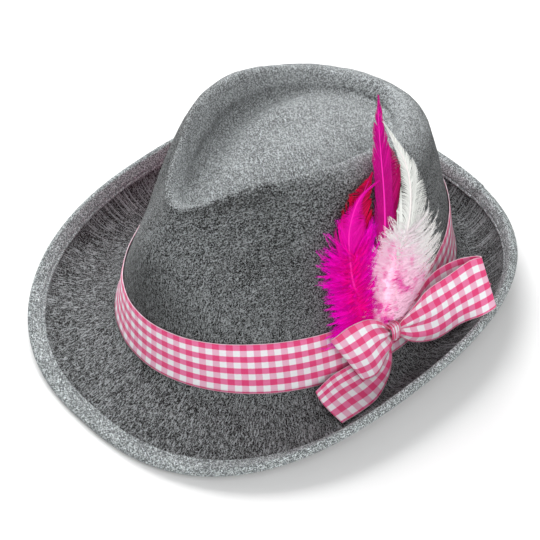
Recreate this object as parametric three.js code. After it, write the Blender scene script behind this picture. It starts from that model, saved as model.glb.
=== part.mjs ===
import * as THREE from 'three';

// A pinched felt hat with a turned-up bound brim, a checked ribbon band tied in a bow at the
// wearer's left side, and a cluster of feathers and down tucked behind the bow.
// Millimetres, +Z up, +X to the wearer's left, -Y to the front. The hat stands on z = 0.

// Driving sizes of the felt body
const headLength = 203.5;
const headWidth = 160.6;
const crownHeight = 123.6;
const brimFront = 40.2;
const brimSide = 33.4;
const brimBack = 17.2;
const brimCurl = 26.3;
const feltThickness = 2.2;
const pinchDepth = 8;
const pinchAngle = 43;
const pinchSpread = 15;

// Driving sizes of the trimmings. bandLift is how far the band's lower edge stands above the
// foot of the crown, as a share of the ribbon's width.
const bindingWidth = 8;
const bindingThickness = 1;
const ribbonWidth = 30;
const ribbonThickness = 1;
const bandLift = 0.04;
const knotWidth = 6.6;
const knotHeight = 8.6;
const knotDepth = 6;
const quillWidth = 1.4;
const vaneThickness = 0.8;
const layerGap = 0.4;
const featherLength = 130;
const downDepth = 7;

// Gap kept between pieces that touch, and how finely the felt is faceted
const clearance = 0.3;
const turns = 60;

// Where the bow is tied, in degrees round from the front
const bowAngle = 92;

const halfLength = headLength / 2;
const halfWidth = headWidth / 2;
const headMiddle = (brimFront - brimBack - feltThickness) / 2;
const degree = Math.PI / 180;

// Rings of the crown from the middle of its top down to the foot of the band.
// front, back and middle are shares of half the head's length, side of half its width,
// at0 to at180 are heights at four angles from the front as shares of the crown's height,
// nose narrows the front, pinch is a share of the pinch depth, square is the oval's exponent.
const crownRings = {
  centre: { front: -0.118, side: 0, back: 0.118, middle: 0.118, at0: 0.85, at60: 0.85, at120: 0.85,
    at180: 0.85, nose: 0, pinch: 0, square: 2 },
  floor: { front: 0.334, side: 0.311, back: 0.472, middle: 0.118, at0: 0.841, at60: 0.833, at120: 0.825,
    at180: 0.793, nose: 0.35, pinch: 0, square: 2 },
  crease: { front: 0.567, side: 0.4645, back: 0.678, middle: 0.122, at0: 0.829, at60: 0.7985, at120: 0.786,
    at180: 0.7354, nose: 0.55, pinch: 0, square: 2 },
  inner: { front: 0.644, side: 0.504, back: 0.703, middle: 0.122, at0: 0.87, at60: 0.902, at120: 0.833,
    at180: 0.7605, nose: 0.44, pinch: 0.125, square: 2 },
  rim: { front: 0.7125, side: 0.56, back: 0.755, middle: 0.122, at0: 0.896, at60: 1, at120: 0.876,
    at180: 0.796, nose: 0.34, pinch: 0.375, square: 2 },
  shoulder: { front: 0.742, side: 0.702, back: 0.851, middle: 0.1425, at0: 0.8535, at60: 0.9045,
    at120: 0.8115, at180: 0.7387, nose: 0.36, pinch: 0.75, square: 2 },
  wall: { front: 0.8865, side: 0.7796, back: 0.917, middle: 0.036, at0: 0.6756, at60: 0.659, at120: 0.6197,
    at180: 0.594, nose: 0.16, pinch: 1, square: 2 },
  bandTop: { front: 0.949, side: 0.9, back: 0.969, middle: 0.0295, at0: 0.393, at60: 0.326, at120: 0.3075,
    at180: 0.309, nose: 0.02, pinch: 0.125, square: 2 },
  foot: { front: 1, side: 1, back: 1, middle: 0, at0: 0.1375, at60: 0.095, at120: 0.05, at180: 0.066,
    nose: 0, pinch: 0, square: 2 },
};

// Rings of the brim from the foot of the crown out to the edge. front, side and back are
// shares of the brim's width there, middle of its width at the front, and the heights at
// four angles are shares of the height that the edge curls up to.
const brimRings = {
  fillet: { front: 0.085, side: 0.106, back: 0.155, middle: -0.024, at0: 0.555, at60: 0.33, at120: 0.14,
    at180: 0.15, square: 2.05 },
  valley: { front: 0.362, side: 0.378, back: 0.387, middle: -0.12, at0: 0.395, at60: 0.243, at120: 0.06,
    at180: 0.06, square: 2.15 },
  curl: { front: 0.7, side: 0.736, back: 0.747, middle: -0.24, at0: 0.228, at60: 0.342, at120: 0.399,
    at180: 0.304, square: 2.3 },
  edge: { front: 1, side: 1, back: 1, middle: -0.338, at0: 0.125, at60: 0.624, at120: 1, at180: 0.711,
    square: 2.42 },
};

function crownRing(row) {
  return {
    front: row.front * halfLength,
    side: row.side * halfWidth,
    back: row.back * halfLength,
    middle: row.middle * halfLength,
    heights: [row.at0, row.at60, row.at120, row.at180].map((share) => share * crownHeight),
    nose: row.nose,
    pinch: row.pinch * pinchDepth,
    square: row.square,
  };
}

function brimRing(row) {
  return {
    front: halfLength + row.front * brimFront,
    side: halfWidth + row.side * brimSide,
    back: halfLength + row.back * brimBack,
    middle: row.middle * brimFront,
    heights: [row.at0, row.at60, row.at120, row.at180].map((share) => share * brimCurl),
    nose: 0,
    pinch: 0,
    square: row.square,
  };
}

const rings = [
  ...Object.values(crownRings).map(crownRing),
  ...Object.values(brimRings).map(brimRing),
];
const ringNames = [...Object.keys(crownRings), ...Object.keys(brimRings)];

function place(name) {
  return ringNames.indexOf(name);
}

// A height round the ring, as the cosine series through its four given heights
function ringHeight([at0, at60, at120, at180], angle) {
  const ends = at0 + at180;
  const sides = at60 + at120;
  const second = (ends - sides) / 3;
  const mean = ends / 2 - second;
  const first = (at0 - at180 + at60 - at120) / 3;
  const third = (at0 - at180) / 2 - first;
  return mean + first * Math.cos(angle) + second * Math.cos(2 * angle) + third * Math.cos(3 * angle);
}

function ringPoint(ring, angle) {
  const c = Math.cos(angle);
  const s = Math.sin(angle);
  const power = 2 / ring.square;
  const reach = c > 0 ? ring.front + ring.middle : ring.back - ring.middle;
  const point = new THREE.Vector3(
    ring.side * Math.sign(s) * Math.abs(s) ** power * (1 - ring.nose * Math.max(c, 0) ** 2),
    -reach * Math.sign(c) * Math.abs(c) ** power,
    0,
  );
  const turned = THREE.MathUtils.euclideanModulo(angle + Math.PI, 2 * Math.PI) - Math.PI;
  const fromPinch = (Math.abs(turned) / degree - pinchAngle) / pinchSpread;
  const dent = ring.pinch * Math.exp(-(fromPinch ** 2));
  const radius = point.length();
  if (radius > dent) point.multiplyScalar(1 - dent / radius);
  point.y += headMiddle + ring.middle;
  point.z = ringHeight(ring.heights, angle);
  return point;
}

// The felt's upper face. along counts the rings from the crown's centre outward, and the
// meridian between them is a centripetal Catmull-Rom curve.
function feltTop(along, angle) {
  const last = rings.length - 1;
  const start = Math.min(Math.floor(along), last - 1);
  const u = along - start;
  const p1 = ringPoint(rings[start], angle);
  const p2 = ringPoint(rings[start + 1], angle);
  const mirrored = (a, b) => a.clone().multiplyScalar(2).sub(b);
  const p0 = start > 0 ? ringPoint(rings[start - 1], angle) : mirrored(p1, p2);
  const p3 = start + 2 <= last ? ringPoint(rings[start + 2], angle) : mirrored(p2, p1);
  const knot = (a, b) => Math.max(Math.sqrt(a.distanceTo(b)), 1e-4);
  const [k0, k1, k2] = [knot(p0, p1), knot(p1, p2), knot(p2, p3)];
  const slope = (a, b, c, ka, kb) => c.clone().sub(b).divideScalar(kb)
    .sub(c.clone().sub(a).divideScalar(ka + kb))
    .add(b.clone().sub(a).divideScalar(ka));
  const m1 = slope(p0, p1, p2, k0, k1).multiplyScalar(k1);
  const m2 = slope(p1, p2, p3, k1, k2).multiplyScalar(k1);
  return p1.multiplyScalar(2 * u ** 3 - 3 * u ** 2 + 1)
    .addScaledVector(m1, u ** 3 - 2 * u ** 2 + u)
    .addScaledVector(p2, -2 * u ** 3 + 3 * u ** 2)
    .addScaledVector(m2, u ** 3 - u ** 2);
}

function feltSlope(along, angle) {
  const step = 0.02;
  const last = rings.length - 1;
  const near = feltTop(Math.max(along - step, 0), angle);
  return feltTop(Math.min(along + step, last), angle).sub(near).normalize();
}

function feltNormal(along, angle) {
  const step = 0.5 * degree;
  const round = feltTop(along, angle + step).sub(feltTop(along, angle - step));
  return feltSlope(along, angle).cross(round).normalize();
}

// The ring place that lies a length away from another one, measured along the felt
function walk(from, angle, length) {
  const step = 0.02 * Math.sign(length);
  let along = from;
  let left = Math.abs(length);
  let here = feltTop(along, angle);
  while (left > 0) {
    const next = feltTop(along + step, angle);
    const stride = next.distanceTo(here);
    if (stride > left) return along + step * left / stride;
    left -= stride;
    along += step;
    here = next;
  }
  return along;
}

function angles() {
  return Array.from({ length: turns }, (_, i) => 2 * Math.PI * i / turns);
}

// Mesh helpers

function meshFrom(corners, faces) {
  const positions = corners.flatMap((corner) => corner.toArray());
  let volume = 0;
  for (const [a, b, c] of faces) {
    volume += corners[a].dot(corners[b].clone().cross(corners[c]));
  }
  const index = volume > 0 ? faces.flat() : faces.flatMap(([a, b, c]) => [a, c, b]);
  const geometry = new THREE.BufferGeometry();
  geometry.setAttribute('position', new THREE.Float32BufferAttribute(positions, 3));
  geometry.setIndex(index);
  geometry.computeVertexNormals();
  return geometry;
}

// A closed ring swept from one closed section for each angle. Its quads split from the wider
// point to the narrower one at the next angle, as the felt's do, so nested rings keep their gap.
function ringSolid(sections) {
  const count = sections[0].length;
  const corners = sections.flat();
  const width = (i) => Math.hypot(corners[i].x, corners[i].y);
  const faces = [];
  sections.forEach((_, i) => {
    const next = (i + 1) % sections.length;
    for (let k = 0; k < count; k += 1) {
      const after = (k + 1) % count;
      const [a, b] = [i * count + k, i * count + after];
      const [c, d] = [next * count + k, next * count + after];
      if (width(b) > width(a)) faces.push([a, b, c], [b, d, c]);
      else faces.push([a, b, d], [a, d, c]);
    }
  });
  return meshFrom(corners, faces);
}

// A closed sheet between two grids of points with the same rows and columns
function sheetSolid(upper, lower) {
  const columns = upper[0].length;
  const count = upper.length * columns;
  const faces = [];
  for (let i = 0; i + 1 < upper.length; i += 1) {
    for (let k = 0; k + 1 < columns; k += 1) {
      const [a, b] = [i * columns + k, i * columns + k + 1];
      const [c, d] = [a + columns, b + columns];
      faces.push([a, b, c], [b, d, c], [count + a, count + c, count + b], [count + b, count + c, count + d]);
    }
  }
  const rim = [];
  for (let k = 0; k + 1 < columns; k += 1) rim.push(k);
  for (let i = 0; i + 1 < upper.length; i += 1) rim.push(i * columns + columns - 1);
  for (let k = columns - 1; k > 0; k -= 1) rim.push((upper.length - 1) * columns + k);
  for (let i = upper.length - 1; i > 0; i -= 1) rim.push(i * columns);
  rim.forEach((a, i) => {
    const b = rim[(i + 1) % rim.length];
    faces.push([a, count + a, b], [b, count + a, count + b]);
  });
  return meshFrom([...upper.flat(), ...lower.flat()], faces);
}

// The felt body: crown and brim in one blocked piece, hollow below

const footPlace = place('foot');
const edgePlace = place('edge');

function bandPlace(share) {
  return (angle) => walk(footPlace, angle, -share * ribbonWidth);
}

function edgeInset(share) {
  return (angle) => walk(edgePlace, angle, -share * bindingWidth);
}

function fixed(along) {
  return () => along;
}

function between(name, share) {
  return fixed(place(name) + share);
}

const bandPlaces = [bandPlace(bandLift + 1), bandPlace(bandLift + 0.5), bandPlace(bandLift)];
const boundPlaces = [edgeInset(1), edgeInset(0.45), fixed(edgePlace)];
const upperPlaces = [
  fixed(place('floor')), between('floor', 0.5), fixed(place('crease')), between('crease', 0.5),
  fixed(place('inner')), between('inner', 0.5), fixed(place('rim')), between('rim', 0.5),
  fixed(place('shoulder')), between('shoulder', 0.5), fixed(place('wall')), between('wall', 0.5),
  ...bandPlaces, fixed(footPlace), between('foot', 0.5), fixed(place('fillet')), between('fillet', 0.5),
  fixed(place('valley')), between('valley', 0.5), fixed(place('curl')), ...boundPlaces,
];
const lowerPlaces = [
  fixed(place('floor')), fixed(place('crease')), fixed(place('inner')), fixed(place('rim')),
  fixed(place('shoulder')), fixed(place('wall')), bandPlaces[0], fixed(footPlace), fixed(place('fillet')),
  between('fillet', 0.5), between('fillet', 0.8), fixed(place('valley')), between('valley', 0.25),
  between('valley', 0.6), fixed(place('curl')), ...boundPlaces,
];

// How low the felt's underside may come: the table, or the binding's lower strip
function feltFloor(isBound) {
  return isBound ? clearance + bindingThickness : 0;
}

function upperPoint(along, angle, isBound) {
  const point = feltTop(along, angle);
  point.z = Math.max(point.z, feltFloor(isBound) + feltThickness);
  return point;
}

function lowerPoint(along, angle, isBound) {
  const point = feltTop(along, angle).addScaledVector(feltNormal(along, angle), -feltThickness);
  point.z = Math.max(point.z, feltFloor(isBound));
  return point;
}

function feltBody() {
  const corners = [];
  const faces = [];
  const addFace = (places, pointOf, centre) => {
    const start = corners.length;
    corners.push(centre);
    places.forEach((along, i) => {
      const isBound = i >= places.length - boundPlaces.length;
      for (const angle of angles()) corners.push(pointOf(along(angle), angle, isBound));
    });
    for (let i = 0; i < places.length; i += 1) {
      for (let k = 0; k < turns; k += 1) {
        const after = (k + 1) % turns;
        const here = start + 1 + i * turns;
        const inside = here - turns;
        if (i === 0) faces.push([start, here + k, here + after]);
        else faces.push([inside + k, here + k, inside + after], [inside + after, here + k, here + after]);
      }
    }
    return corners.length - turns;
  };
  const top = feltTop(0, 0);
  const upperEdge = addFace(upperPlaces, upperPoint, top);
  const split = faces.length;
  const lowerEdge = addFace(lowerPlaces, lowerPoint, top.clone().setZ(top.z - feltThickness));
  for (let i = split; i < faces.length; i += 1) faces[i].reverse();
  for (let k = 0; k < turns; k += 1) {
    const after = (k + 1) % turns;
    const [a, b] = [upperEdge + k, upperEdge + after];
    const [c, d] = [lowerEdge + k, lowerEdge + after];
    faces.push([a, c, b], [b, c, d]);
  }
  return meshFrom(corners, faces);
}

// The binding: a folded strip of felt round the brim's edge

function bindingPath(angle, depth, floor) {
  const [inner, half, edge] = boundPlaces.map((along) => along(angle));
  const above = (along) => upperPoint(along, angle, true).addScaledVector(feltNormal(along, angle), depth);
  const below = (along) => lowerPoint(along, angle, true).addScaledVector(feltNormal(along, angle), -depth);
  const outward = feltSlope(edge, angle);
  const belly = upperPoint(edge, angle, true)
    .addScaledVector(feltNormal(edge, angle), -feltThickness / 2)
    .addScaledVector(outward, depth + clearance);
  const path = [
    above(inner), above(half), above(edge).addScaledVector(outward, depth / 2),
    belly,
    below(edge).addScaledVector(outward, depth / 2), below(half), below(inner),
  ];
  for (const point of path) point.z = Math.max(point.z, floor);
  return path;
}

function brimBinding() {
  return ringSolid(angles().map((angle) => [
    ...bindingPath(angle, clearance + bindingThickness, 0),
    ...bindingPath(angle, clearance, bindingThickness).reverse(),
  ]));
}

// The ribbon band round the foot of the crown

function bandFace(angle, depth) {
  return bandPlaces.map((along) => {
    const spot = along(angle);
    return feltTop(spot, angle).addScaledVector(feltNormal(spot, angle), depth);
  });
}

function hatBand() {
  return ringSolid(angles().map((angle) => [
    ...bandFace(angle, clearance + ribbonThickness),
    ...bandFace(angle, clearance).reverse(),
  ]));
}

// The side frame that the bow and feathers are laid out in. Its origin is on the crown at the
// band's upper edge: side runs back along the band, rise up the wall, out away from it.

const bowTurn = bowAngle * degree;
const sideOrigin = feltTop(bandPlaces[0](bowTurn), bowTurn);
const riseAxis = feltTop(place('shoulder'), bowTurn).sub(sideOrigin).normalize();
const sideAxis = feltTop(bandPlaces[0](bowTurn), bowTurn + 5 * degree).sub(sideOrigin);
sideAxis.addScaledVector(riseAxis, -sideAxis.dot(riseAxis)).normalize();
const outAxis = sideAxis.clone().cross(riseAxis).normalize();

// Radius of the crown's wall at its side, a little tighter than an ellipse's
const wallTightness = 0.9;
const crownRadius = wallTightness * halfLength ** 2 / halfWidth;

function inSideFrame(side, rise, out) {
  return sideOrigin.clone()
    .addScaledVector(sideAxis, side)
    .addScaledVector(riseAxis, rise)
    .addScaledVector(outAxis, out);
}

// A point that stands off the crown's round wall
function offWall(side, rise, out) {
  return inSideFrame(side, rise, out - side ** 2 / (2 * crownRadius));
}

function smooth(values, share) {
  const spot = share * (values.length - 1);
  const i = Math.min(Math.floor(spot), values.length - 2);
  const u = spot - i;
  const before = values[Math.max(i - 1, 0)];
  const after = values[Math.min(i + 2, values.length - 1)];
  const [a, b] = [values[i], values[i + 1]];
  const [ta, tb] = [(b - before) / 2, (after - a) / 2];
  return a * (2 * u ** 3 - 3 * u ** 2 + 1) + ta * (u ** 3 - 2 * u ** 2 + u)
    + b * (3 * u ** 2 - 2 * u ** 3) + tb * (u ** 3 - u ** 2);
}

// The bow: loops and tails of the same ribbon, each a row of cross sections from the knot
// outward. up and low are the ribbon's two edges, with side, rise and out as shares of the
// ribbon's width. belly pushes the middle outward and pleat is the depth of its gathers.

const sectionColumns = ['upSide', 'upRise', 'upOut', 'lowSide', 'lowRise', 'lowOut', 'belly', 'pleat'];

const loopFront = [
  [-0.285, -0.27, 0.27, -0.285, -0.5, 0.27, 0, 0.04],
  [-0.55, 0.02, 0.33, -0.38, -0.6, 0.4, 0.05, 0.04],
  [-0.82, 0.18, 0.3, -0.59, -0.69, 0.47, 0.06, 0.02],
  [-1.13, 0.14, 0.2, -0.8, -0.88, 0.45, 0.06, 0],
  [-1.34, -0.02, 0.06, -0.99, -0.94, 0.36, 0.03, 0],
  [-1.39, -0.1, -0.03, -1.02, -0.93, 0.3, 0, 0],
  [-1.31, -0.13, -0.05, -0.96, -0.9, 0.26, 0, 0],
  [-1.07, -0.13, 0, -0.78, -0.85, 0.27, 0, 0],
  [-0.72, -0.17, 0.07, -0.56, -0.69, 0.24, 0, 0],
  [-0.285, -0.32, 0.18, -0.285, -0.45, 0.18, 0, 0],
];

const loopBack = [
  [-0.045, -0.27, 0.27, -0.045, -0.52, 0.27, 0, 0.04],
  [0.22, 0.06, 0.42, 0.13, -0.69, 0.45, 0.04, 0.04],
  [0.47, 0.25, 0.5, 0.47, -0.71, 0.67, 0.07, 0.02],
  [0.83, 0.4, 0.65, 0.92, -0.52, 0.86, 0.06, 0],
  [1.27, 0.56, 0.78, 1.17, -0.365, 1.14, 0.03, 0],
  [1.47, 0.57, 0.87, 1.39, -0.255, 1.25, 0, 0],
  [1.45, 0.56, 0.74, 1.38, -0.255, 1.11, 0, 0],
  [1.17, 0.49, 0.48, 1.17, -0.42, 0.76, 0, 0],
  [0.79, 0.28, 0.27, 0.78, -0.6, 0.47, 0, 0],
  [0.32, -0.11, 0.22, 0.29, -0.6, 0.31, 0, 0],
  [-0.045, -0.33, 0.18, -0.045, -0.46, 0.18, 0, 0],
];

const tailFront = [
  [-0.25, -0.45, 0.12, -0.14, -0.45, 0.12, 0, 0],
  [-0.32, -0.61, 0.12, -0.12, -0.69, 0.13, 0, 0.01],
  [-0.45, -0.72, 0.1, -0.2, -0.97, 0.25, 0, 0.03],
  [-0.71, -0.76, 0.05, -0.44, -1.18, 0.38, -0.03, 0.03],
  [-1.03, -0.78, -0.01, -0.88, -1.31, 0.52, -0.1, 0.01],
  [-1.4, -0.86, -0.08, -1.32, -1.34, 0.55, -0.14, 0],
  [-1.76, -0.99, -0.1, -1.79, -1.34, 0.55, -0.14, 0],
];

const tailBack = [
  [-0.05, -0.35, 0.13, -0.05, -0.5, 0.13, 0, 0],
  [0.12, -0.38, 0.125, 0.12, -0.6, 0.13, 0, 0],
  [0.35, -0.36, 0.1, 0.35, -0.75, 0.16, 0, 0.02],
  [0.75, -0.3, 0.04, 0.8, -0.84, 0.26, 0.02, 0.01],
  [1.3, -0.2, -0.05, 1.45, -0.78, 0.4, 0.04, 0],
  [1.85, -0.08, -0.2, 2.25, -0.52, 0.38, 0.02, 0],
];

const ribbonStations = 2;
const ribbonColumns = 5;
const pleats = 2.5;

function ribbonPiece(table) {
  const columns = Object.fromEntries(sectionColumns.map((name, i) => [name, table.map((row) => row[i])]));
  const count = (table.length - 1) * ribbonStations;
  const middle = [];
  for (let i = 0; i <= count; i += 1) {
    const at = (name) => smooth(columns[name], i / count) * ribbonWidth;
    const up = inSideFrame(at('upSide'), at('upRise'), at('upOut'));
    const low = inSideFrame(at('lowSide'), at('lowRise'), at('lowOut'));
    const row = [];
    for (let k = 0; k < ribbonColumns; k += 1) {
      const share = k / (ribbonColumns - 1);
      const swell = at('belly') * Math.sin(Math.PI * share);
      const gather = at('pleat') * Math.cos(2 * Math.PI * pleats * share);
      row.push(up.clone().lerp(low, share).addScaledVector(outAxis, swell + gather));
    }
    middle.push(row);
  }
  return thickSheet(middle, () => ribbonThickness);
}

// A sheet of some thickness round a grid of middle points
function thickSheet(middle, thicknessAt) {
  const rows = middle.length;
  const columns = middle[0].length;
  const shifted = (sign) => middle.map((row, i) => row.map((point, k) => {
    const along = middle[Math.min(i + 1, rows - 1)][k].clone().sub(middle[Math.max(i - 1, 0)][k]);
    const across = row[Math.min(k + 1, columns - 1)].clone().sub(row[Math.max(k - 1, 0)]);
    const normal = along.cross(across).normalize();
    return point.clone().addScaledVector(normal, sign * thicknessAt(i, k) / 2);
  }));
  return sheetSolid(shifted(1), shifted(-1));
}

// The knot: a short crossing turn of ribbon, rounded, with a hollow in each cheek
const knotSide = -0.165 * ribbonWidth;
const knotRise = -0.39 * ribbonWidth;
const knotOut = 0.15 * ribbonWidth + knotDepth / 2;
const knotSquareness = 0.7;
const knotWaist = 0.18;
const knotFacets = [14, 9];

function bowKnot() {
  const geometry = new THREE.SphereGeometry(1, ...knotFacets);
  geometry.deleteAttribute('normal');
  geometry.deleteAttribute('uv');
  const position = geometry.attributes.position;
  const rounded = (value) => Math.sign(value) * Math.abs(value) ** knotSquareness;
  for (let i = 0; i < position.count; i += 1) {
    const waist = 1 - knotWaist * Math.cos(Math.PI * position.getY(i)) ** 2;
    const point = inSideFrame(
      knotSide + rounded(position.getX(i)) * waist * knotWidth / 2,
      knotRise + rounded(position.getY(i)) * knotHeight / 2,
      knotOut + rounded(position.getZ(i)) * knotDepth / 2,
    );
    position.setXYZ(i, point.x, point.y, point.z);
  }
  geometry.computeVertexNormals();
  return geometry;
}

// Feathers: a quill with a vane of barb locks on each side, fused into one leaf. A row is a
// place along the quill, with side and rise as shares of the feather length, out in vane
// layers above the wall, and the widths of the two sides of the vane as shares of the
// feather length. sweep is how far a lock's tip reaches ahead of its root.

const vaneColumns = ['side', 'rise', 'layer', 'left', 'right'];

const feathers = {
  feather_red: {
    colour: 0xb0063c, locks: 13, sweep: 0.035,
    rows: [
      [-0.065, -0.1, 1.3, 0, 0], [-0.09, 0.08, 1.3, 0.002, 0.002], [-0.14, 0.25, 1.3, 0.045, 0.045],
      [-0.15, 0.4, 1.3, 0.06, 0.065], [-0.125, 0.52, 1.3, 0.07, 0.055], [-0.06, 0.625, 1.3, 0, 0],
    ],
  },
  feather_back: {
    colour: 0xa80a78, locks: 15, sweep: 0.035,
    rows: [
      [-0.033, -0.1, 1.3, 0, 0], [-0.03, 0.08, 2.3, 0.002, 0.002], [-0.02, 0.28, 2.4, 0.05, 0.04],
      [0.005, 0.45, 2.4, 0.05, 0.055], [0.025, 0.6, 2.4, 0.04, 0.055], [0.02, 0.72, 2.4, 0, 0],
    ],
  },
  feather_long: {
    colour: 0xd60a9c, locks: 18, sweep: 0.04,
    rows: [
      [-0.048, -0.1, 1.3, 0, 0], [-0.045, 0.08, 3.3, 0.002, 0.002], [-0.035, 0.3, 3.5, 0.045, 0.04],
      [-0.025, 0.5, 3.5, 0.055, 0.045], [-0.028, 0.68, 3.5, 0.05, 0.045], [-0.03, 0.82, 3.5, 0.03, 0.025],
      [-0.025, 0.95, 3.5, 0, 0],
    ],
  },
  feather_white: {
    colour: 0xf1ecec, locks: 17, sweep: 0.05,
    rows: [
      [-0.016, -0.1, 1.3, 0, 0], [0.005, 0.08, 4.4, 0.002, 0.002], [0.07, 0.27, 4.6, 0.06, 0.1],
      [0.115, 0.42, 4.6, 0.05, 0.095], [0.11, 0.56, 4.6, 0.04, 0.05], [0.06, 0.69, 4.6, 0.02, 0.015],
      [-0.02, 0.84, 4.6, 0, 0],
    ],
  },
  feather_small: {
    colour: 0xe312a6, locks: 12, sweep: 0.04,
    rows: [
      [-0.082, -0.1, 1.3, 0, 0], [-0.13, 0.04, 2.6, 0.002, 0.002], [-0.2, 0.17, 4.6, 0.03, 0.03],
      [-0.215, 0.32, 4.6, 0.04, 0.04], [-0.205, 0.45, 4.6, 0.06, 0.06], [-0.15, 0.56, 4.6, 0.045, 0.02],
      [-0.055, 0.6, 4.6, 0, 0],
    ],
  },
};

const layerPitch = vaneThickness + layerGap;

function vanePoint(side, rise, layer) {
  const out = clearance + vaneThickness / 2 + layer * layerPitch;
  return offWall(side, rise, out);
}

// Which way the quill heads at a place, in side and rise
function heading(at, share) {
  const step = 0.02;
  const side = at('side', share + step) - at('side', share - step);
  const rise = at('rise', share + step) - at('rise', share - step);
  const length = Math.hypot(side, rise);
  return [side / length, rise / length];
}

// A notch between locks, as shares of a lock's reach and sweep, the part of the quill over
// which the sweep fades out, and the least width that is a vane rather than bare quill
const notchReach = 0.68;
const notchSweep = 0.45;
const fadeShare = 0.167;
const leastVane = 0.02;

function featherLeaf({ rows, locks, sweep }) {
  const columns = Object.fromEntries(vaneColumns.map((name, i) => [name, rows.map((row) => row[i])]));
  const at = (name, share) => smooth(columns[name], THREE.MathUtils.clamp(share, 0, 1));
  const stations = 2 * locks;
  const middle = [];
  for (let i = 0; i <= stations; i += 1) {
    const share = i / stations;
    const tip = i % 2 === 1;
    const [side, rise, layer] = ['side', 'rise', 'layer'].map((name) => at(name, share));
    const [aheadSide, aheadRise] = heading(at, share);
    const fade = Math.min(1, (1 - share) / fadeShare);
    const forward = sweep * fade * (tip ? 1 : notchSweep);
    const edge = (name, sign) => {
      const vane = Math.max(at(name, share), 0) * (tip ? 1 : notchReach);
      const width = sign * (vane + quillWidth / 2 / featherLength);
      const reach = Math.abs(width) > leastVane ? forward : 0;
      return [side + aheadSide * reach - aheadRise * width, rise + aheadRise * reach + aheadSide * width];
    };
    const spots = [edge('left', 1), [side, rise], edge('right', -1)];
    middle.push(spots.map(([a, b]) => vanePoint(a * featherLength, b * featherLength, layer)));
  }
  return thickSheet(middle, () => vaneThickness);
}

// Down: soft locks fused to a padded core, deepest along the quill. Columns as for feathers.
const plumes = {
  plume_magenta: {
    colour: 0xe0109c, locks: 11, sweep: 0.03,
    rows: [
      [-0.2, 0.035, 3.9, 0.1, 0.04], [-0.22, 0.12, 5.3, 0.14, 0.08], [-0.22, 0.25, 5.3, 0.15, 0.11],
      [-0.215, 0.36, 5.3, 0.13, 0.1], [-0.23, 0.47, 5.3, 0.03, 0.03],
    ],
  },
  plume_white: {
    colour: 0xf3dde6, locks: 12, sweep: 0.03,
    rows: [
      [-0.045, 0, 4.6, 0.05, 0.03], [0, 0.1, 5.3, 0.13, 0.12], [0.05, 0.22, 5.3, 0.14, 0.18],
      [0.08, 0.33, 5.3, 0.12, 0.18], [0.1, 0.46, 5.3, 0.03, 0.05],
    ],
  },
};

// The core's depth at the plume's ends and how it falls toward the sides, as shares of its
// full depth, and a notch's reach as a share of a lock's
const endPuff = 0.25;
const startPuff = 0.1;
const sideFall = 0.35;
const downNotch = 0.8;

function downPlume({ rows, locks, sweep }) {
  const columns = Object.fromEntries(vaneColumns.map((name, i) => [name, rows.map((row) => row[i])]));
  const at = (name, share) => smooth(columns[name], share);
  const stations = 2 * locks;
  const grids = [1, 0].map((face) => {
    const grid = [];
    for (let i = 0; i <= stations; i += 1) {
      const share = i / stations;
      const tip = i % 2 === 1;
      const puff = endPuff + (1 - endPuff) * Math.sin(Math.PI * (startPuff + share * (1 - startPuff)));
      const forward = tip ? sweep : 0;
      grid.push([-1, -0.5, 0, 0.5, 1].map((across) => {
        const outermost = Math.abs(across) === 1;
        const width = at(across < 0 ? 'left' : 'right', share) * (outermost && !tip ? downNotch : 1);
        const side = at('side', share) + across * width;
        const rise = at('rise', share) + forward * Math.abs(across);
        const depth = (outermost ? vaneThickness : downDepth * puff * (1 - sideFall * Math.abs(across)))
          + vaneThickness;
        const point = vanePoint(side * featherLength, rise * featherLength, at('layer', share));
        return point.addScaledVector(outAxis, face * depth);
      }));
    }
    return grid;
  });
  return sheetSolid(grids[0], grids[1]);
}

// Scene graph

function piece(name, geometry, colour, roughness) {
  const material = new THREE.MeshStandardMaterial({ color: colour, roughness, metalness: 0 });
  const mesh = new THREE.Mesh(geometry, material);
  mesh.name = name;
  return mesh;
}

const feltGrey = 0x77787a;
const bindingGrey = 0x94989a;
const ribbonPink = 0xd9497f;
const feltRoughness = 0.95;
const ribbonRoughness = 0.75;
const vaneRoughness = 0.6;
const downRoughness = 0.9;

const hat = new THREE.Group();
hat.add(piece('felt_body', feltBody(), feltGrey, feltRoughness));
hat.add(piece('brim_binding', brimBinding(), bindingGrey, feltRoughness));
hat.add(piece('hat_band', hatBand(), ribbonPink, ribbonRoughness));

const bow = new THREE.Group();
bow.add(piece('bow_knot', bowKnot(), ribbonPink, ribbonRoughness));
bow.add(piece('bow_loop_front', ribbonPiece(loopFront), ribbonPink, ribbonRoughness));
bow.add(piece('bow_loop_back', ribbonPiece(loopBack), ribbonPink, ribbonRoughness));
bow.add(piece('bow_tail_front', ribbonPiece(tailFront), ribbonPink, ribbonRoughness));
bow.add(piece('bow_tail_back', ribbonPiece(tailBack), ribbonPink, ribbonRoughness));
hat.add(bow);

const cluster = new THREE.Group();
for (const [name, feather] of Object.entries(feathers)) {
  cluster.add(piece(name, featherLeaf(feather), feather.colour, vaneRoughness));
}
for (const [name, plume] of Object.entries(plumes)) {
  cluster.add(piece(name, downPlume(plume), plume.colour, downRoughness));
}
hat.add(cluster);

export default hat;
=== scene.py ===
import math

import bpy
import numpy as np
from mathutils import Matrix, Vector, noise


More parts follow.
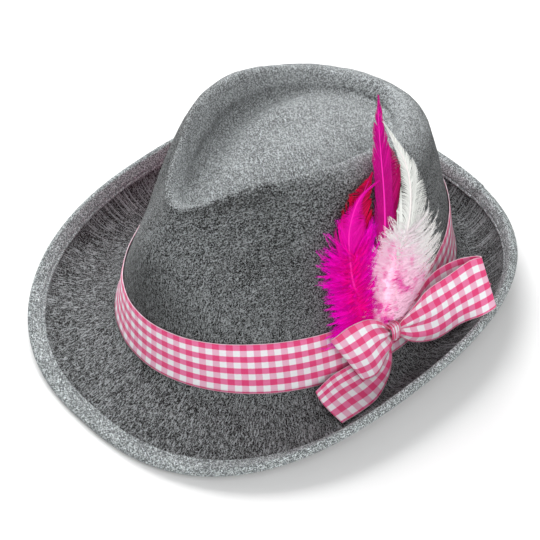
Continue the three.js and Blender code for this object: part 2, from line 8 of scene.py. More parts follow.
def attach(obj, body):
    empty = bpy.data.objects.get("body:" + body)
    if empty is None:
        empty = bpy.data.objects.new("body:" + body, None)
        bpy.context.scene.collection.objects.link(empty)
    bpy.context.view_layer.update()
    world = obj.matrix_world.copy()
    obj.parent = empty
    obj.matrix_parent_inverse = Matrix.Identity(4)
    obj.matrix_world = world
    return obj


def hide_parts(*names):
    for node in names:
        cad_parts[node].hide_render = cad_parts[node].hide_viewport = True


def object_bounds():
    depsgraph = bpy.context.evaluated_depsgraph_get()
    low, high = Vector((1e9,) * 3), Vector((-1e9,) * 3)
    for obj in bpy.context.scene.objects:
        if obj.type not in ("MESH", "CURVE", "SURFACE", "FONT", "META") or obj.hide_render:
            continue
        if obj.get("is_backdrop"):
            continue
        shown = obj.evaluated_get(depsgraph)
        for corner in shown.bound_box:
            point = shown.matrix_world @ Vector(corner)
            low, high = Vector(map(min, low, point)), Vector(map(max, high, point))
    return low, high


# A felt hat with a pinched crown and a bound, curled brim, a checked ribbon band and bow, and
# feathers with down at its wearer's left. Lengths in millimetres until a mesh is made.

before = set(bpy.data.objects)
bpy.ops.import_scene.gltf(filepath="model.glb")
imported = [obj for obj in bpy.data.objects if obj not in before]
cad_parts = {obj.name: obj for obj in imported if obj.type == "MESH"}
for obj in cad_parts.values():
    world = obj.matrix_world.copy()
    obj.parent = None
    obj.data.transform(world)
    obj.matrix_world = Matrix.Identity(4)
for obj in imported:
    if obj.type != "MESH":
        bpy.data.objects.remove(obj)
cad_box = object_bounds()
scene = bpy.context.scene
MM = 0.001

# Sizes of the felt body and its trimmings. FELT, BINDING and RIBBON are thicknesses. The
# angles are in degrees from the front, and BAND_LIFT is a share of the ribbon's width.
HEAD_LENGTH, HEAD_WIDTH, CROWN_HEIGHT = 203.5, 160.6, 123.6
BRIM_FRONT, BRIM_SIDE, BRIM_BACK, BRIM_CURL = 40.2, 33.4, 17.2, 26.3
FELT = 2.2
PINCH_DEPTH, PINCH_ANGLE, PINCH_SPREAD = 8, 43, 15
BINDING_WIDTH, BINDING = 8, 1
RIBBON_WIDTH, RIBBON, BAND_LIFT = 30, 0.45, 0.04
FEATHER_LENGTH = 130
CLEARANCE = 0.3
BOW_ANGLE = 92
HALF_LENGTH, HALF_WIDTH = HEAD_LENGTH / 2, HEAD_WIDTH / 2
HEAD_MIDDLE = (BRIM_FRONT - BRIM_BACK - FELT) / 2
BRIM_RADIUS = (HALF_WIDTH + BRIM_SIDE) * MM

# Rings of the felt, from the crown's centre to the brim's edge, as shares of the sizes above:
# front, side, back, middle, heights at 0, 60, 120 and 180 degrees, nose, pinch, square
CROWN_RINGS = {
    "centre": (-0.118, 0, 0.118, 0.118, 0.85, 0.85, 0.85, 0.85, 0, 0, 2),
    "floor": (0.334, 0.311, 0.472, 0.118, 0.841, 0.833, 0.825, 0.793, 0.35, 0, 2),
    "crease": (0.567, 0.4645, 0.678, 0.122, 0.829, 0.7985, 0.786, 0.7354, 0.55, 0, 2),
    "inner": (0.644, 0.504, 0.703, 0.122, 0.87, 0.902, 0.833, 0.7605, 0.44, 0.125, 2),
    "rim": (0.7125, 0.56, 0.755, 0.122, 0.896, 1, 0.876, 0.796, 0.34, 0.375, 2),
    "shoulder": (0.742, 0.702, 0.851, 0.1425, 0.8535, 0.9045, 0.8115, 0.7387, 0.36, 0.75, 2),
    "wall": (0.8865, 0.7796, 0.917, 0.036, 0.6756, 0.659, 0.6197, 0.594, 0.16, 1, 2),
    "band_top": (0.949, 0.9, 0.969, 0.0295, 0.393, 0.326, 0.3075, 0.309, 0.02, 0.125, 2),
    "foot": (1, 1, 1, 0, 0.1375, 0.095, 0.05, 0.066, 0, 0, 2),
}
# The same for the brim, as shares of its widths and its curl, without nose and pinch
BRIM_RINGS = {
    "fillet": (0.085, 0.106, 0.155, -0.024, 0.555, 0.33, 0.14, 0.15, 2.05),
    "valley": (0.362, 0.378, 0.387, -0.12, 0.395, 0.243, 0.06, 0.06, 2.15),
    "curl": (0.7, 0.736, 0.747, -0.24, 0.228, 0.342, 0.399, 0.304, 2.3),
    "edge": (1, 1, 1, -0.338, 0.125, 0.624, 1, 0.711, 2.42),
}
NAMES = list(CROWN_RINGS) + list(BRIM_RINGS)
LAST = len(NAMES) - 1
CREASE, RIM, SHOULDER, BAND_TOP, CURL = (
    NAMES.index(name) for name in ("crease", "rim", "shoulder", "band_top", "curl"))


def absolute_rings():
    rows = []
    for front, side, back, middle, *rest in CROWN_RINGS.values():
        heights, (nose, pinch, square) = rest[:4], rest[4:]
        rows.append((front * HALF_LENGTH, side * HALF_WIDTH, back * HALF_LENGTH, middle * HALF_LENGTH,
                     [h * CROWN_HEIGHT for h in heights], nose, pinch * PINCH_DEPTH, square))
    for front, side, back, middle, *rest in BRIM_RINGS.values():
        rows.append((HALF_LENGTH + front * BRIM_FRONT, HALF_WIDTH + side * BRIM_SIDE,
                     HALF_LENGTH + back * BRIM_BACK, middle * BRIM_FRONT,
                     [h * BRIM_CURL for h in rest[:4]], 0, 0, rest[4]))
    return rows


RINGS = absolute_rings()


def ring_points(phi):
    """All rings at the angles phi: an array of rings, angles and 3."""
    c, s = np.cos(phi), np.sin(phi)
    turned = np.degrees(np.abs((phi + np.pi) % (2 * np.pi) - np.pi))
    dent = np.exp(-(((turned - PINCH_ANGLE) / PINCH_SPREAD) ** 2))
    out = []
    for front, side, back, middle, (h0, h60, h120, h180), nose, pinch, square in RINGS:
        power = 2 / square
        reach = np.where(c > 0, front + middle, back - middle)
        x = side * np.sign(s) * np.abs(s) ** power * (1 - nose * np.maximum(c, 0) ** 2)
        y = -reach * np.sign(c) * np.abs(c) ** power
        radius = np.maximum(np.hypot(x, y), 1e-9)
        keep = np.where(radius > pinch * dent, 1 - pinch * dent / radius, 1)
        second = (h0 + h180 - h60 - h120) / 3
        mean = (h0 + h180) / 2 - second
        first = (h0 - h180 + h60 - h120) / 3
        third = (h0 - h180) / 2 - first
        z = mean + first * c + second * np.cos(2 * phi) + third * np.cos(3 * phi)
        out.append(np.stack([x * keep, y * keep + HEAD_MIDDLE + middle, z], -1))
    return np.array(out)


def felt_top(along, phi):
    """The felt's upper face at ring places along and angles phi, which broadcast."""
    along, phi = np.broadcast_arrays(np.asarray(along, float), np.asarray(phi, float))
    shape = along.shape
    along, phi = along.ravel(), phi.ravel()
    rings = ring_points(phi)
    rings = np.concatenate([2 * rings[:1] - rings[1:2], rings, 2 * rings[-1:] - rings[-2:-1]])
    start = np.clip(np.floor(along).astype(int), 0, LAST - 1)
    u = (along - start)[:, None]
    here = np.arange(len(along))
    p0, p1, p2, p3 = (rings[start + k, here] for k in range(4))
    interval = lambda a, b: np.maximum(np.linalg.norm(a - b, axis=1) ** 0.5, 1e-4)[:, None]
    k0, k1, k2 = interval(p0, p1), interval(p1, p2), interval(p2, p3)
    slope = lambda a, b, c, ka, kb: (c - b) / kb - (c - a) / (ka + kb) + (b - a) / ka
    m1, m2 = slope(p0, p1, p2, k0, k1) * k1, slope(p1, p2, p3, k1, k2) * k1
    p = (p1 * (2 * u**3 - 3 * u**2 + 1) + m1 * (u**3 - 2 * u**2 + u)
         + p2 * (3 * u**2 - 2 * u**3) + m2 * (u**3 - u**2))
    return p.reshape(*shape, 3)


def unit(v):
    return v / np.maximum(np.linalg.norm(v, axis=-1, keepdims=True), 1e-12)


def felt_slope(along, phi):
    step = 0.02
    before, after = np.maximum(along - step, 0), np.minimum(along + step, LAST)
    return unit(felt_top(after, phi) - felt_top(before, phi))


def felt_normal(along, phi):
    step = math.radians(0.5)
    sideways = felt_top(along, np.asarray(phi) + step) - felt_top(along, np.asarray(phi) - step)
    return unit(np.cross(felt_slope(along, phi), sideways))


def lengths_down(grid):
    """The length run from the first row of a grid of points, down each column."""
    steps = np.linalg.norm(np.diff(grid, axis=0), axis=-1)
    return np.concatenate([0 * steps[:1], np.cumsum(steps, 0)])


def walker(phi):
    """A function that gives the ring place at a length from a named ring, for each angle."""
    places = np.linspace(0, LAST, 1201)
    run = lengths_down(felt_top(places[:, None], phi[None, :]))

    def walk(name, length):
        at = NAMES.index(name)
        return np.array([np.interp(np.interp(at, places, run[:, k]) + length, run[:, k], places)
                         for k in range(len(phi))])

    return walk


def around(count):
    return 2 * np.pi * np.arange(count) / count


# Meshes

def make(name, points, faces, uv=None, painted_light_uv=None):
    """A smooth mesh object from points in millimetres and a list of face arrays."""
    mesh = bpy.data.meshes.new(name)
    faces = [np.asarray(f, np.int32) for f in faces if len(f)]
    loops = np.concatenate([f.ravel() for f in faces])
    sizes = np.concatenate([np.full(len(f), f.shape[1], np.int32) for f in faces])
    mesh.vertices.add(len(points))
    mesh.vertices.foreach_set("co", (np.asarray(points, np.float32) * MM).ravel())
    mesh.loops.add(len(loops))
    mesh.loops.foreach_set("vertex_index", loops)
    mesh.polygons.add(len(sizes))
    starts = np.concatenate([[0], np.cumsum(sizes)[:-1]]).astype(np.int32)
    mesh.polygons.foreach_set("loop_start", starts)
    mesh.polygons.foreach_set("loop_total", sizes)
    for layer, values in {"UVMap": uv, "Tint": painted_light_uv}.items():
        if values is not None:
            data = mesh.uv_layers.new(name=layer)
            data.data.foreach_set("uv", np.asarray(values, np.float32)[loops].ravel())
    mesh.update(calc_edges=True)
    mesh.polygons.foreach_set("use_smooth", np.ones(len(sizes), bool))
    mesh.validate()
    obj = bpy.data.objects.new(name, mesh)
    scene.collection.objects.link(obj)
    return obj


def dress(obj, materials, node=None):
    """Give an object its materials and its body, and hide the solid that it stands for."""
    for material in materials:
        obj.data.materials.append(material)
    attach(obj, "root")
    if node:
        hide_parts(node)


def quads(rows, columns, wrap=False, start=0, flip=False):
    i, k = np.meshgrid(np.arange(rows - 1), np.arange(columns if wrap else columns - 1), indexing="ij")
    a, b = start + i * columns + k, start + i * columns + (k + 1) % columns
    f = np.stack([a, b, b + columns, a + columns], -1).reshape(-1, 4)
    return f[:, ::-1] if flip else f


def copies(faces, count, size):
    """The faces of count pieces of size points each, from the faces of the first."""
    starts = (np.arange(count) * size)[:, None, None]
    return (np.asarray(faces)[None] + starts).reshape(-1, len(faces[0]))


def shell(upper, lower, wrap=False):
    """Points and faces of the closed sheet between two grids, rows by columns."""
    rows, columns = upper.shape[:2]
    n = rows * columns
    faces = [quads(rows, columns, wrap, 0, True), quads(rows, columns, wrap, n)]
    rims = [np.arange(columns), np.arange(columns)[::-1] + (rows - 1) * columns]
    if wrap:
        rims = [np.append(r, r[0]) for r in rims]
    else:
        rims += [np.arange(rows) * columns + columns - 1, np.arange(rows)[::-1] * columns]
    for r in rims:
        faces.append(np.stack([r[:-1], r[1:], r[1:] + n, r[:-1] + n], -1))
    return np.concatenate([upper.reshape(-1, 3), lower.reshape(-1, 3)]), faces


def cloth(name, grid, uv, wrap=False):
    """A closed sheet of the ribbon's thickness round a grid of middle points."""
    along = np.gradient(grid, axis=0)
    if wrap:
        across = (np.roll(grid, -1, 1) - np.roll(grid, 1, 1)) / 2
    else:
        across = np.gradient(grid, axis=1)
    half = unit(np.cross(along, across)) * RIBBON / 2
    flat = uv.reshape(-1, 2)
    return make(name, *shell(grid + half, grid - half, wrap), np.concatenate([flat, flat]))


def fbm(points, size, seed):
    """Smooth noise of about -1 to 1 at points in millimetres, with features of a size."""
    flat = points.reshape(-1, 3) / size + seed
    octaves = 3
    values = [noise.fractal(Vector(p), 1.0, 2.0, octaves) for p in flat]
    return np.array(values).reshape(points.shape[:-1])


# Node materials

class Nodes:
    """Builds one material: a Principled surface and short calls for its nodes."""

    def __init__(self, name, **plain):
        self.material = bpy.data.materials.new(name)
        self.material.use_nodes = True
        self.tree = self.material.node_tree
        self.shader = self.tree.nodes["Principled BSDF"]
        for key, value in plain.items():
            self.shader.inputs[key.replace("_", " ")].default_value = value

    def node(self, kind, inputs=(), **settings):
        n = self.tree.nodes.new("ShaderNode" + kind)
        for key, value in settings.items():
            setattr(n, key, value)
        for key, value in dict(inputs).items():
            self.put(n.inputs[key], value)
        return n

    def put(self, socket, value):
        if isinstance(value, bpy.types.NodeSocket):
            self.tree.links.new(value, socket)
        else:
            socket.default_value = value

    def surface(self, key, value):
        self.put(self.shader.inputs[key], value)

    def math(self, how, a, b=0.0, clamp=False):
        n = self.node("Math", operation=how, use_clamp=clamp)
        self.put(n.inputs[0], a)
        self.put(n.inputs[1], b)
        return n.outputs[0]

    def plus(self, a, b):
        return self.math("ADD", a, b)

    def times(self, a, b):
        return self.math("MULTIPLY", a, b)

    def centred(self, value, size):
        """A value from 0 to 1 as one from minus half a size to half a size."""
        return self.times(self.math("SUBTRACT", value, 0.5), size)

    def vector(self, how, a, b=None):
        n = self.node("VectorMath", {0: a} if b is None else {0: a, 1: b}, operation=how)
        return n.outputs["Value" if how in ("LENGTH", "DOT_PRODUCT") else "Vector"]

    def split(self, vector):
        return self.node("SeparateXYZ", {"Vector": vector}).outputs

    def joined(self, x, y, z):
        return self.node("CombineXYZ", {"X": x, "Y": y, "Z": z}).outputs[0]

    def grey(self, level):
        return self.node("CombineColor", {0: level, 1: level, 2: level}).outputs[0]

    def mix(self, factor, a, b, blend="MIX"):
        n = self.node("Mix", data_type="RGBA", blend_type=blend, clamp_factor=True)
        for socket, value in zip((n.inputs[0], n.inputs[6], n.inputs[7]), (factor, a, b)):
            self.put(socket, value)
        return n.outputs[2]

    def scaled(self, source, scale, turn=(0, 0, 0)):
        return self.node("Mapping", {"Vector": source, "Scale": scale, "Rotation": turn}).outputs[0]

    def noise(self, vector, scale, detail, rough=0.5, distortion=0.0):
        return self.node("TexNoise", {"Vector": vector, "Scale": scale, "Detail": detail,
                                      "Roughness": rough, "Distortion": distortion}).outputs["Fac"]

    def ramp(self, value, low, high, to_low=0.0, to_high=1.0):
        n = self.node("MapRange", {"From Min": low, "From Max": high, "To Min": to_low, "To Max": to_high})
        self.put(n.inputs["Value"], value)
        return n.outputs[0]

    def bump(self, height, distance, strength=1.0):
        self.surface("Normal", self.node("Bump", {"Height": height, "Distance": distance,
                                                  "Strength": strength}).outputs[0])

    def coordinates(self):
        return self.node("TexCoord").outputs["Object"]

    def uv(self, name="UVMap"):
        return self.node("UVMap", uv_map=name).outputs[0]


def rgb(r, g, b):
    """A linear colour from 0 to 255 screen values."""
    linear = [((v / 255 + 0.055) / 1.055) ** 2.4 if v > 10.3 else v / 255 / 12.92 for v in (r, g, b)]
    return (*linear, 1.0)


FIBRE_WIDTH, FIBRE_LENGTH = 0.5, 3.0
FIBRE_TILTS = ((0, 0, 0.5), (0, 0.6, -0.9), (0.2, 1.3, 0.3))
FLECK_SCALE, CLOUD_SCALE = 1300, 90
# Where the combed nap starts and where it is full, in metres from the head's middle
NAP_START, NAP_FULL = 0.06, 0.085


def felt_material(name, dark, light, low, steep, felted, brushed):
    """Wool felt of mixed dark and light fibres, with painted light and shade. low and steep are the
    shares of the colour that stay below the crown's top and on upright faces: painted shade.
    felted and brushed are the strengths of the tangled and of the combed fibres on the brim."""
    m = Nodes(name, Roughness=0.95, Specular_IOR_Level=0.12, Sheen_Weight=0.08, Sheen_Roughness=0.6)
    place = m.coordinates()
    fine, long = 1 / (FIBRE_WIDTH * MM), 1 / (FIBRE_LENGTH * MM)
    ways = [m.scaled(m.scaled(place, (1, 1, 1), tilt), (long, fine, fine)) for tilt in FIBRE_TILTS]
    first, second, third = (m.noise(way, 1, 2, 0.55, 0.45) for way in ways)
    tangle = m.math("MAXIMUM", m.math("MAXIMUM", first, second), third)
    # Nap that runs down the crown and out over the brim
    x, y, z = m.split(place)
    flat = m.joined(x, m.math("SUBTRACT", y, HEAD_MIDDLE * MM), 0.0)
    radius = m.vector("LENGTH", flat)
    turned = m.scaled(m.vector("NORMALIZE", flat), (BRIM_RADIUS * fine,) * 3)
    fall = m.joined(0.0, 0.0, m.times(m.math("SUBTRACT", radius, z), long))
    nap = m.plus(m.noise(m.vector("ADD", turned, fall), 1, 2, 0.55, 0.4), 0.02)
    nap = m.times(nap, m.ramp(radius, NAP_START, NAP_FULL, 0.8, brushed))
    hair = m.math("MAXIMUM", m.times(tangle, m.ramp(radius, 0.08, 0.1, 1.0, felted)), nap)
    fleck = m.noise(place, FLECK_SCALE, 3, 0.7, 0.5)
    grain = m.plus(m.times(m.ramp(hair, 0.53, 0.69), 0.6), m.times(m.ramp(fleck, 0.38, 0.62), 0.4))
    grain = m.ramp(grain, 0.26, 0.7)
    # Painted light inside the crown's dent, and painted shade on its slopes, on steep faces and below the
    # rim
    inside, slope, _ = m.split(m.uv("Tint"))
    cloud = m.centred(m.noise(place, CLOUD_SCALE, 2), 0.3)
    tone = m.math("ADD", m.plus(grain, m.times(inside, 0.2)), cloud, True)
    # Painted shade by the way a face turns: upright faces are darker, most of all those turned to the front
    # or the back
    normal = m.split(m.node("NewGeometry").outputs["True Normal"])
    facing = m.plus(m.times(m.math("ABSOLUTE", normal["X"]), 0.42), m.times(normal["Z"], 0.9))
    level = m.times(m.ramp(inside, 0, 1, low, 1.0), m.ramp(facing, 0.15, 0.75, steep, 1.0))
    level = m.times(level, m.ramp(slope, 0, 1, 1.0, 0.8))
    m.surface("Base Color", m.mix(1.0, m.mix(tone, dark, light), m.grey(level), "MULTIPLY"))
    m.bump(grain, 0.0004, 0.8)
    return m.material


# The felt body

HOOD_COLUMNS = 480


def felt_hood():
    phi = around(HOOD_COLUMNS)
    bound = walker(phi)("edge", -BINDING_WIDTH)
    rows = [np.full(HOOD_COLUMNS, a) for a in (0.12, 0.3, 0.5, 0.7, 0.85)]
    rows += [np.full(HOOD_COLUMNS, a) for a in np.arange(1, CURL + 0.01, 0.125)]
    rows += [CURL + (bound - CURL) * t for t in (0.25, 0.5, 0.75, 1)]
    rows += [bound + (LAST - bound) * t for t in (0.33, 0.67, 1)]
    along = np.array(rows)
    angle = np.broadcast_to(phi, along.shape)
    upper = felt_top(along, angle)
    normal = felt_normal(along, angle)
    lower = upper - normal * FELT
    # Soft unevenness of blocked felt, kept off the band and the bound edge
    swell = 0.5 * fbm(upper, 26, 3.1) + 0.16 * fbm(upper, 6, 9.7)
    free = np.clip(np.abs(along - BAND_TOP - 0.5) - 0.6, 0, 1) * np.clip((bound - along) * 2, 0, 1)
    # The nose's ridge between the pinches, the fold along the rim of the crown's dent, and the
    # crease round the dent's floor
    bell = lambda value, middle, spread: np.exp(-(((value - middle) / spread) ** 2))
    turned = np.degrees(np.abs((angle + np.pi) % (2 * np.pi) - np.pi))
    ridge = 1.6 * bell(turned, 0, 9) - 1.1 * bell(turned, 24, 10)
    fold = 0.7 * bell(along, RIM, 0.5) * np.clip((85 - turned) / 30, 0, 1)
    crease = 1.2 * bell(along, CREASE, 0.35) - 0.8 * bell(along, CREASE + 0.55, 0.25)
    swell = swell + ridge * np.clip(1.6 - np.abs(along - SHOULDER - 0.4), 0, 1) + fold
    swell = swell + crease * np.clip((120 - turned) / 40, 0, 1)
    # Where the felt lies inside the rim, and where on the slopes of the dent: masks for painted light and
    # painted shade
    back = np.clip((turned - 60) / 50, 0, 1)
    inside = np.clip((RIM + back - along) / (0.7 + 0.8 * back) + 0.5, 0, 1)
    slope = np.clip((along - CREASE) / 0.15, 0, 1) * np.clip(CREASE + 1.2 - along, 0, 1)
    slope = slope * np.clip((turned - 20) / 20, 0, 1)
    upper = upper + normal * (swell * free)[..., None]
    floor = np.where(along >= bound - 1e-6, CLEARANCE + BINDING, 0)
    upper[..., 2] = np.maximum(upper[..., 2], floor + FELT)
    lower[..., 2] = np.maximum(lower[..., 2], floor)
    n = along.size
    centre = felt_top(0, 0)
    points = np.concatenate([upper.reshape(-1, 3), lower.reshape(-1, 3),
                             [centre, centre - np.array([0, 0, FELT])]])
    count = len(along)
    ring = np.arange(HOOD_COLUMNS)
    after = (ring + 1) % HOOD_COLUMNS
    last = (count - 1) * HOOD_COLUMNS
    faces = [quads(count, HOOD_COLUMNS, True), quads(count, HOOD_COLUMNS, True, n, True),
             np.stack([np.full(HOOD_COLUMNS, 2 * n), after, ring], -1),
             np.stack([np.full(HOOD_COLUMNS, 2 * n + 1), n + ring, n + after], -1),
             np.stack([last + ring, last + after, n + last + after, n + last + ring], -1)]
    uv = np.stack(np.broadcast_arrays(phi * 0.1, lengths_down(upper) * MM), -1).reshape(-1, 2)
    uv = np.concatenate([uv, uv, [[0, 0], [0, 0]]])
    # The second UV layer carries the masks of the painted light and the painted shade
    inside = np.concatenate([inside.ravel(), np.zeros(n), [1, 0]])
    slope = np.concatenate([slope.ravel(), np.zeros(n + 2)])
    return make("felt_hood", points, faces, uv, np.stack([inside, slope], -1))


# 0.54 and 0.44 are painted shade below the crown's top and on upright faces
felt = felt_material("wool_felt", rgb(31, 29, 29), rgb(210, 216, 218), 0.54, 0.44, 0.95, 1.02)
dress(felt_hood(), [felt], "felt_body")

# The binding: a tape folded round the brim's edge, with a sewn line near its inner edge. The
# tape's end laps over its start, and the lap tapers off behind the join.

STITCH_INSET = 2.0
JOIN_ANGLE, JOIN_LIFT = 167.8, 1.2
TAPE_COLUMNS = 720
TAPE_OUT = CLEARANCE + BINDING
# The tape's upper half from its inner edge: distance from the brim's edge, height off the felt
TAPE_PROFILE = [
    (BINDING_WIDTH, 0.05), (BINDING_WIDTH, 0.55), (BINDING_WIDTH - 0.15, 0.9),
    (BINDING_WIDTH - 0.6, TAPE_OUT - 0.15), (BINDING_WIDTH - 1.3, TAPE_OUT - 0.1),
    (BINDING_WIDTH - 1.7, TAPE_OUT - 0.35), (BINDING_WIDTH - STITCH_INSET, TAPE_OUT - 0.5),
    (BINDING_WIDTH - 2.3, TAPE_OUT - 0.35), (BINDING_WIDTH - 2.8, TAPE_OUT - 0.05),
    (4.2, TAPE_OUT + 0.05), (3.0, TAPE_OUT), (1.8, TAPE_OUT), (0.8, TAPE_OUT)]
STITCH_ROW = 6


def binding_rows():
    """The rows of the tape's outside, from its upper inner edge round to the lower one."""
    phi = around(TAPE_COLUMNS)
    walk = walker(phi)
    past = phi - math.radians(JOIN_ANGLE)
    lap = np.where(past > 0, JOIN_LIFT * np.clip((0.45 - past) / 0.25, 0, 1), 0)

    def half(side):
        for row, (inset, lift) in enumerate(TAPE_PROFILE):
            along = walk("edge", -inset)
            normal = felt_normal(along, phi)
            base = felt_top(along, phi) - (normal * FELT if side < 0 else 0)
            base[:, 2] = np.maximum(base[:, 2], TAPE_OUT + (FELT if side > 0 else 0))
            lapped = side > 0 and row != STITCH_ROW
            raised = lift + lap * (min(lift, 1) if lapped else 0)
            yield base + normal * raised[:, None] * side

    edge = np.full(TAPE_COLUMNS, float(LAST))
    normal, out = felt_normal(edge, phi), felt_slope(edge, phi)
    top = felt_top(edge, phi)
    top[:, 2] = np.maximum(top[:, 2], TAPE_OUT + FELT)
    middle = top - normal * FELT / 2
    arc = []
    for t in np.linspace(0, np.pi, 9):
        rise = (FELT / 2 + TAPE_OUT + lap * max(math.cos(t), 0)) * math.cos(t)
        reach = (TAPE_OUT + CLEARANCE + lap * 0.7) * math.sin(t)
        arc.append(middle + normal * rise[:, None] + out * reach[:, None])
    grid = np.array([*half(1), *arc, *reversed(list(half(-1)))])
    grid[..., 2] = np.maximum(grid[..., 2], 0)
    return grid


def edge_binding(grid):
    rows = len(grid)
    ring = np.arange(TAPE_COLUMNS)
    after = (ring + 1) % TAPE_COLUMNS
    last = (rows - 1) * TAPE_COLUMNS
    faces = [quads(rows, TAPE_COLUMNS, True), np.stack([last + ring, last + after, after, ring], -1)]
    outer = grid[len(TAPE_PROFILE) + 5]
    run = lengths_down(np.vstack([outer, outer[:1]]))[1:]
    uv = np.stack(np.broadcast_arrays(run[None], lengths_down(grid[:, 0])[:, None]), -1) * MM
    return make("edge_binding", grid.reshape(-1, 3), faces, uv.reshape(-1, 2))


def capsules(name, starts, ends, radius, normals):
    """Short rounded stitches from starts to ends, sunk at both ends."""
    count, sides, steps = len(starts), 6, 5
    side = unit(np.cross(unit(ends - starts), normals))
    up = np.cross(side, unit(ends - starts))
    points = []
    for t in np.linspace(0, 1, steps):
        swell = math.sqrt(max(1 - (2 * t - 1) ** 2, 0.04))
        for k in range(sides):
            a = 2 * math.pi * k / sides
            points.append(starts + (ends - starts) * t + side * math.cos(a) * radius * swell
                          + up * (math.sin(a) * radius * swell - radius * (1 - swell)))
    points = np.array(points).transpose(1, 0, 2).reshape(-1, 3)
    ring = np.arange(sides)
    faces = [quads(steps, sides, True), [ring[::-1], ring + (steps - 1) * sides]]
    return make(name, points, [copies(block, count, steps * sides) for block in faces])


def stitches(grid):
    """Stitches in the groove of the tape. Each starts and ends at a share of its pitch."""
    pitch, start_share, end_share, radius, lift = 3.1, 0.25, 0.95, 0.26, 0.12
    path = grid[STITCH_ROW]
    closed = np.vstack([path, path[:1]])
    run = lengths_down(closed)
    count = int(run[-1] / pitch)
    pitch = run[-1] / count
    at = lambda s: np.stack([np.interp(s % run[-1], run, closed[:, k]) for k in range(3)], -1)
    first = np.arange(count) * pitch
    across = grid[STITCH_ROW + 2] - grid[STITCH_ROW - 2]
    lie = unit(np.cross(across, np.roll(path, -1, 0) - path))
    lie *= np.sign(lie[:, 2:3])
    lie = np.vstack([lie, lie[:1]])
    middle = first + (start_share + end_share) / 2 * pitch
    normals = np.stack([np.interp(middle, run, lie[:, k]) for k in range(3)], -1)
    starts, ends = (at(first + share * pitch) + normals * lift for share in (start_share, end_share))
    return capsules("binding_stitches", starts, ends, radius, normals)


# The tape's 0.9 is a little painted shade on its upright faces
tape = felt_material("felt_tape", rgb(92, 96, 97), rgb(226, 234, 235), 1.0, 0.9, 1.0, 0.8)
thread = Nodes("grey_thread", Roughness=0.7)
twist = thread.noise(thread.scaled(thread.coordinates(), (2500, 2500, 2500)), 1, 1)
thread.surface("Base Color", thread.mix(twist, rgb(92, 95, 98), rgb(140, 144, 146)))
thread.bump(twist, 0.0001)
tape_grid = binding_rows()
dress(edge_binding(tape_grid), [tape], "brim_binding")
dress(stitches(tape_grid), [thread.material])

# The checked ribbon. A square is half of CHECK wide, and a thread is half of THREAD.

CHECK, THREAD = 7.2, 0.36
WHITE, PINK_CROSS = rgb(238, 238, 241), rgb(232, 178, 202)
PINK_LENGTH, PINK_BOTH = rgb(230, 114, 160), rgb(226, 64, 122)
SHADOW = rgb(120, 70, 92)


def ribbon_material():
    m = Nodes("checked_ribbon", Roughness=0.7, Specular_IOR_Level=0.25, Sheen_Weight=0.2)
    u, v = (m.times(part, 1 / MM) for part in m.split(m.uv())[:2])
    ragged = m.centred(m.noise(m.uv(), 900, 2), 0.3)

    def stripe(value):
        soft = 0.12
        wave = m.math("PINGPONG", m.plus(value, m.plus(ragged, CHECK / 4)), CHECK / 2)
        return m.ramp(wave, CHECK / 4 - soft, CHECK / 4 + soft)

    crosswise, lengthwise = stripe(u), stripe(v)
    warp, weft = (m.math("SINE", m.times(value, 2 * math.pi / THREAD)) for value in (u, v))
    weave = m.times(warp, weft)
    white_row, pink_row = m.mix(crosswise, WHITE, PINK_CROSS), m.mix(crosswise, PINK_LENGTH, PINK_BOTH)
    colour = m.mix(lengthwise, white_row, pink_row)
    rim = m.math("MINIMUM", v, m.math("SUBTRACT", RIBBON_WIDTH, v))
    colour = m.mix(m.ramp(rim, 0.32, 0.2, 0, 0.5), colour, WHITE)
    slub = m.centred(m.noise(m.scaled(m.uv(), (600, 6000, 1)), 1, 2), 0.5)
    shade = m.math("ADD", m.plus(m.times(weave, 0.1), slub), 0.1, True)
    m.surface("Base Color", m.mix(shade, colour, m.mix(0.3, colour, SHADOW)))
    m.bump(weave, 0.00006, 0.7)
    return m.material


ribbon = ribbon_material()


def hat_band():
    phi = around(480) + math.radians(BOW_ANGLE)
    walk = walker(phi)
    shares = np.linspace(1, 0, 13)
    rows = []
    for share in shares:
        along = walk("foot", -(BAND_LIFT + share) * RIBBON_WIDTH)
        wave = 0.1 * (1 + np.sin(phi * 9 + share * 2)) + 0.06 * (1 + np.sin(phi * 23))
        stand = CLEARANCE + 0.34 + wave * (2 * share - 1) ** 2
        rows.append(felt_top(along, phi) + felt_normal(along, phi) * stand[:, None])
    grid = np.array(rows)
    middle = grid[len(grid) // 2]
    run = lengths_down(np.vstack([middle, middle[:1]]))
    v = (1 - shares) * RIBBON_WIDTH
    uv = np.stack(np.broadcast_arrays(run[None, :-1] * MM, v[:, None] * MM), -1)
    return cloth("band_ribbon", grid, uv, True), run[-1]


band, band_length = hat_band()
dress(band, [ribbon], "hat_band")

# The side frame for the bow and the feathers: side runs back along the band, rise up the
# wall and out away from it, from the band's upper edge at the bow

turn = np.array([math.radians(BOW_ANGLE)])
band_top = walker(turn)("foot", -(BAND_LIFT + 1) * RIBBON_WIDTH)
ORIGIN = felt_top(band_top, turn)[0]
RISE = unit(felt_top(SHOULDER, turn)[0] - ORIGIN)
SIDE = felt_top(band_top, turn + math.radians(5))[0] - ORIGIN
SIDE = unit(SIDE - RISE * SIDE.dot(RISE))
OUT = unit(np.cross(SIDE, RISE))
CROWN_RADIUS = 0.9 * HALF_LENGTH**2 / HALF_WIDTH


def in_side_frame(side, rise, out):
    side, rise, out = np.broadcast_arrays(side, rise, out)
    return ORIGIN + side[..., None] * SIDE + rise[..., None] * RISE + out[..., None] * OUT


def off_wall(side, rise, out):
    return in_side_frame(side, rise, out - np.asarray(side) ** 2 / (2 * CROWN_RADIUS))


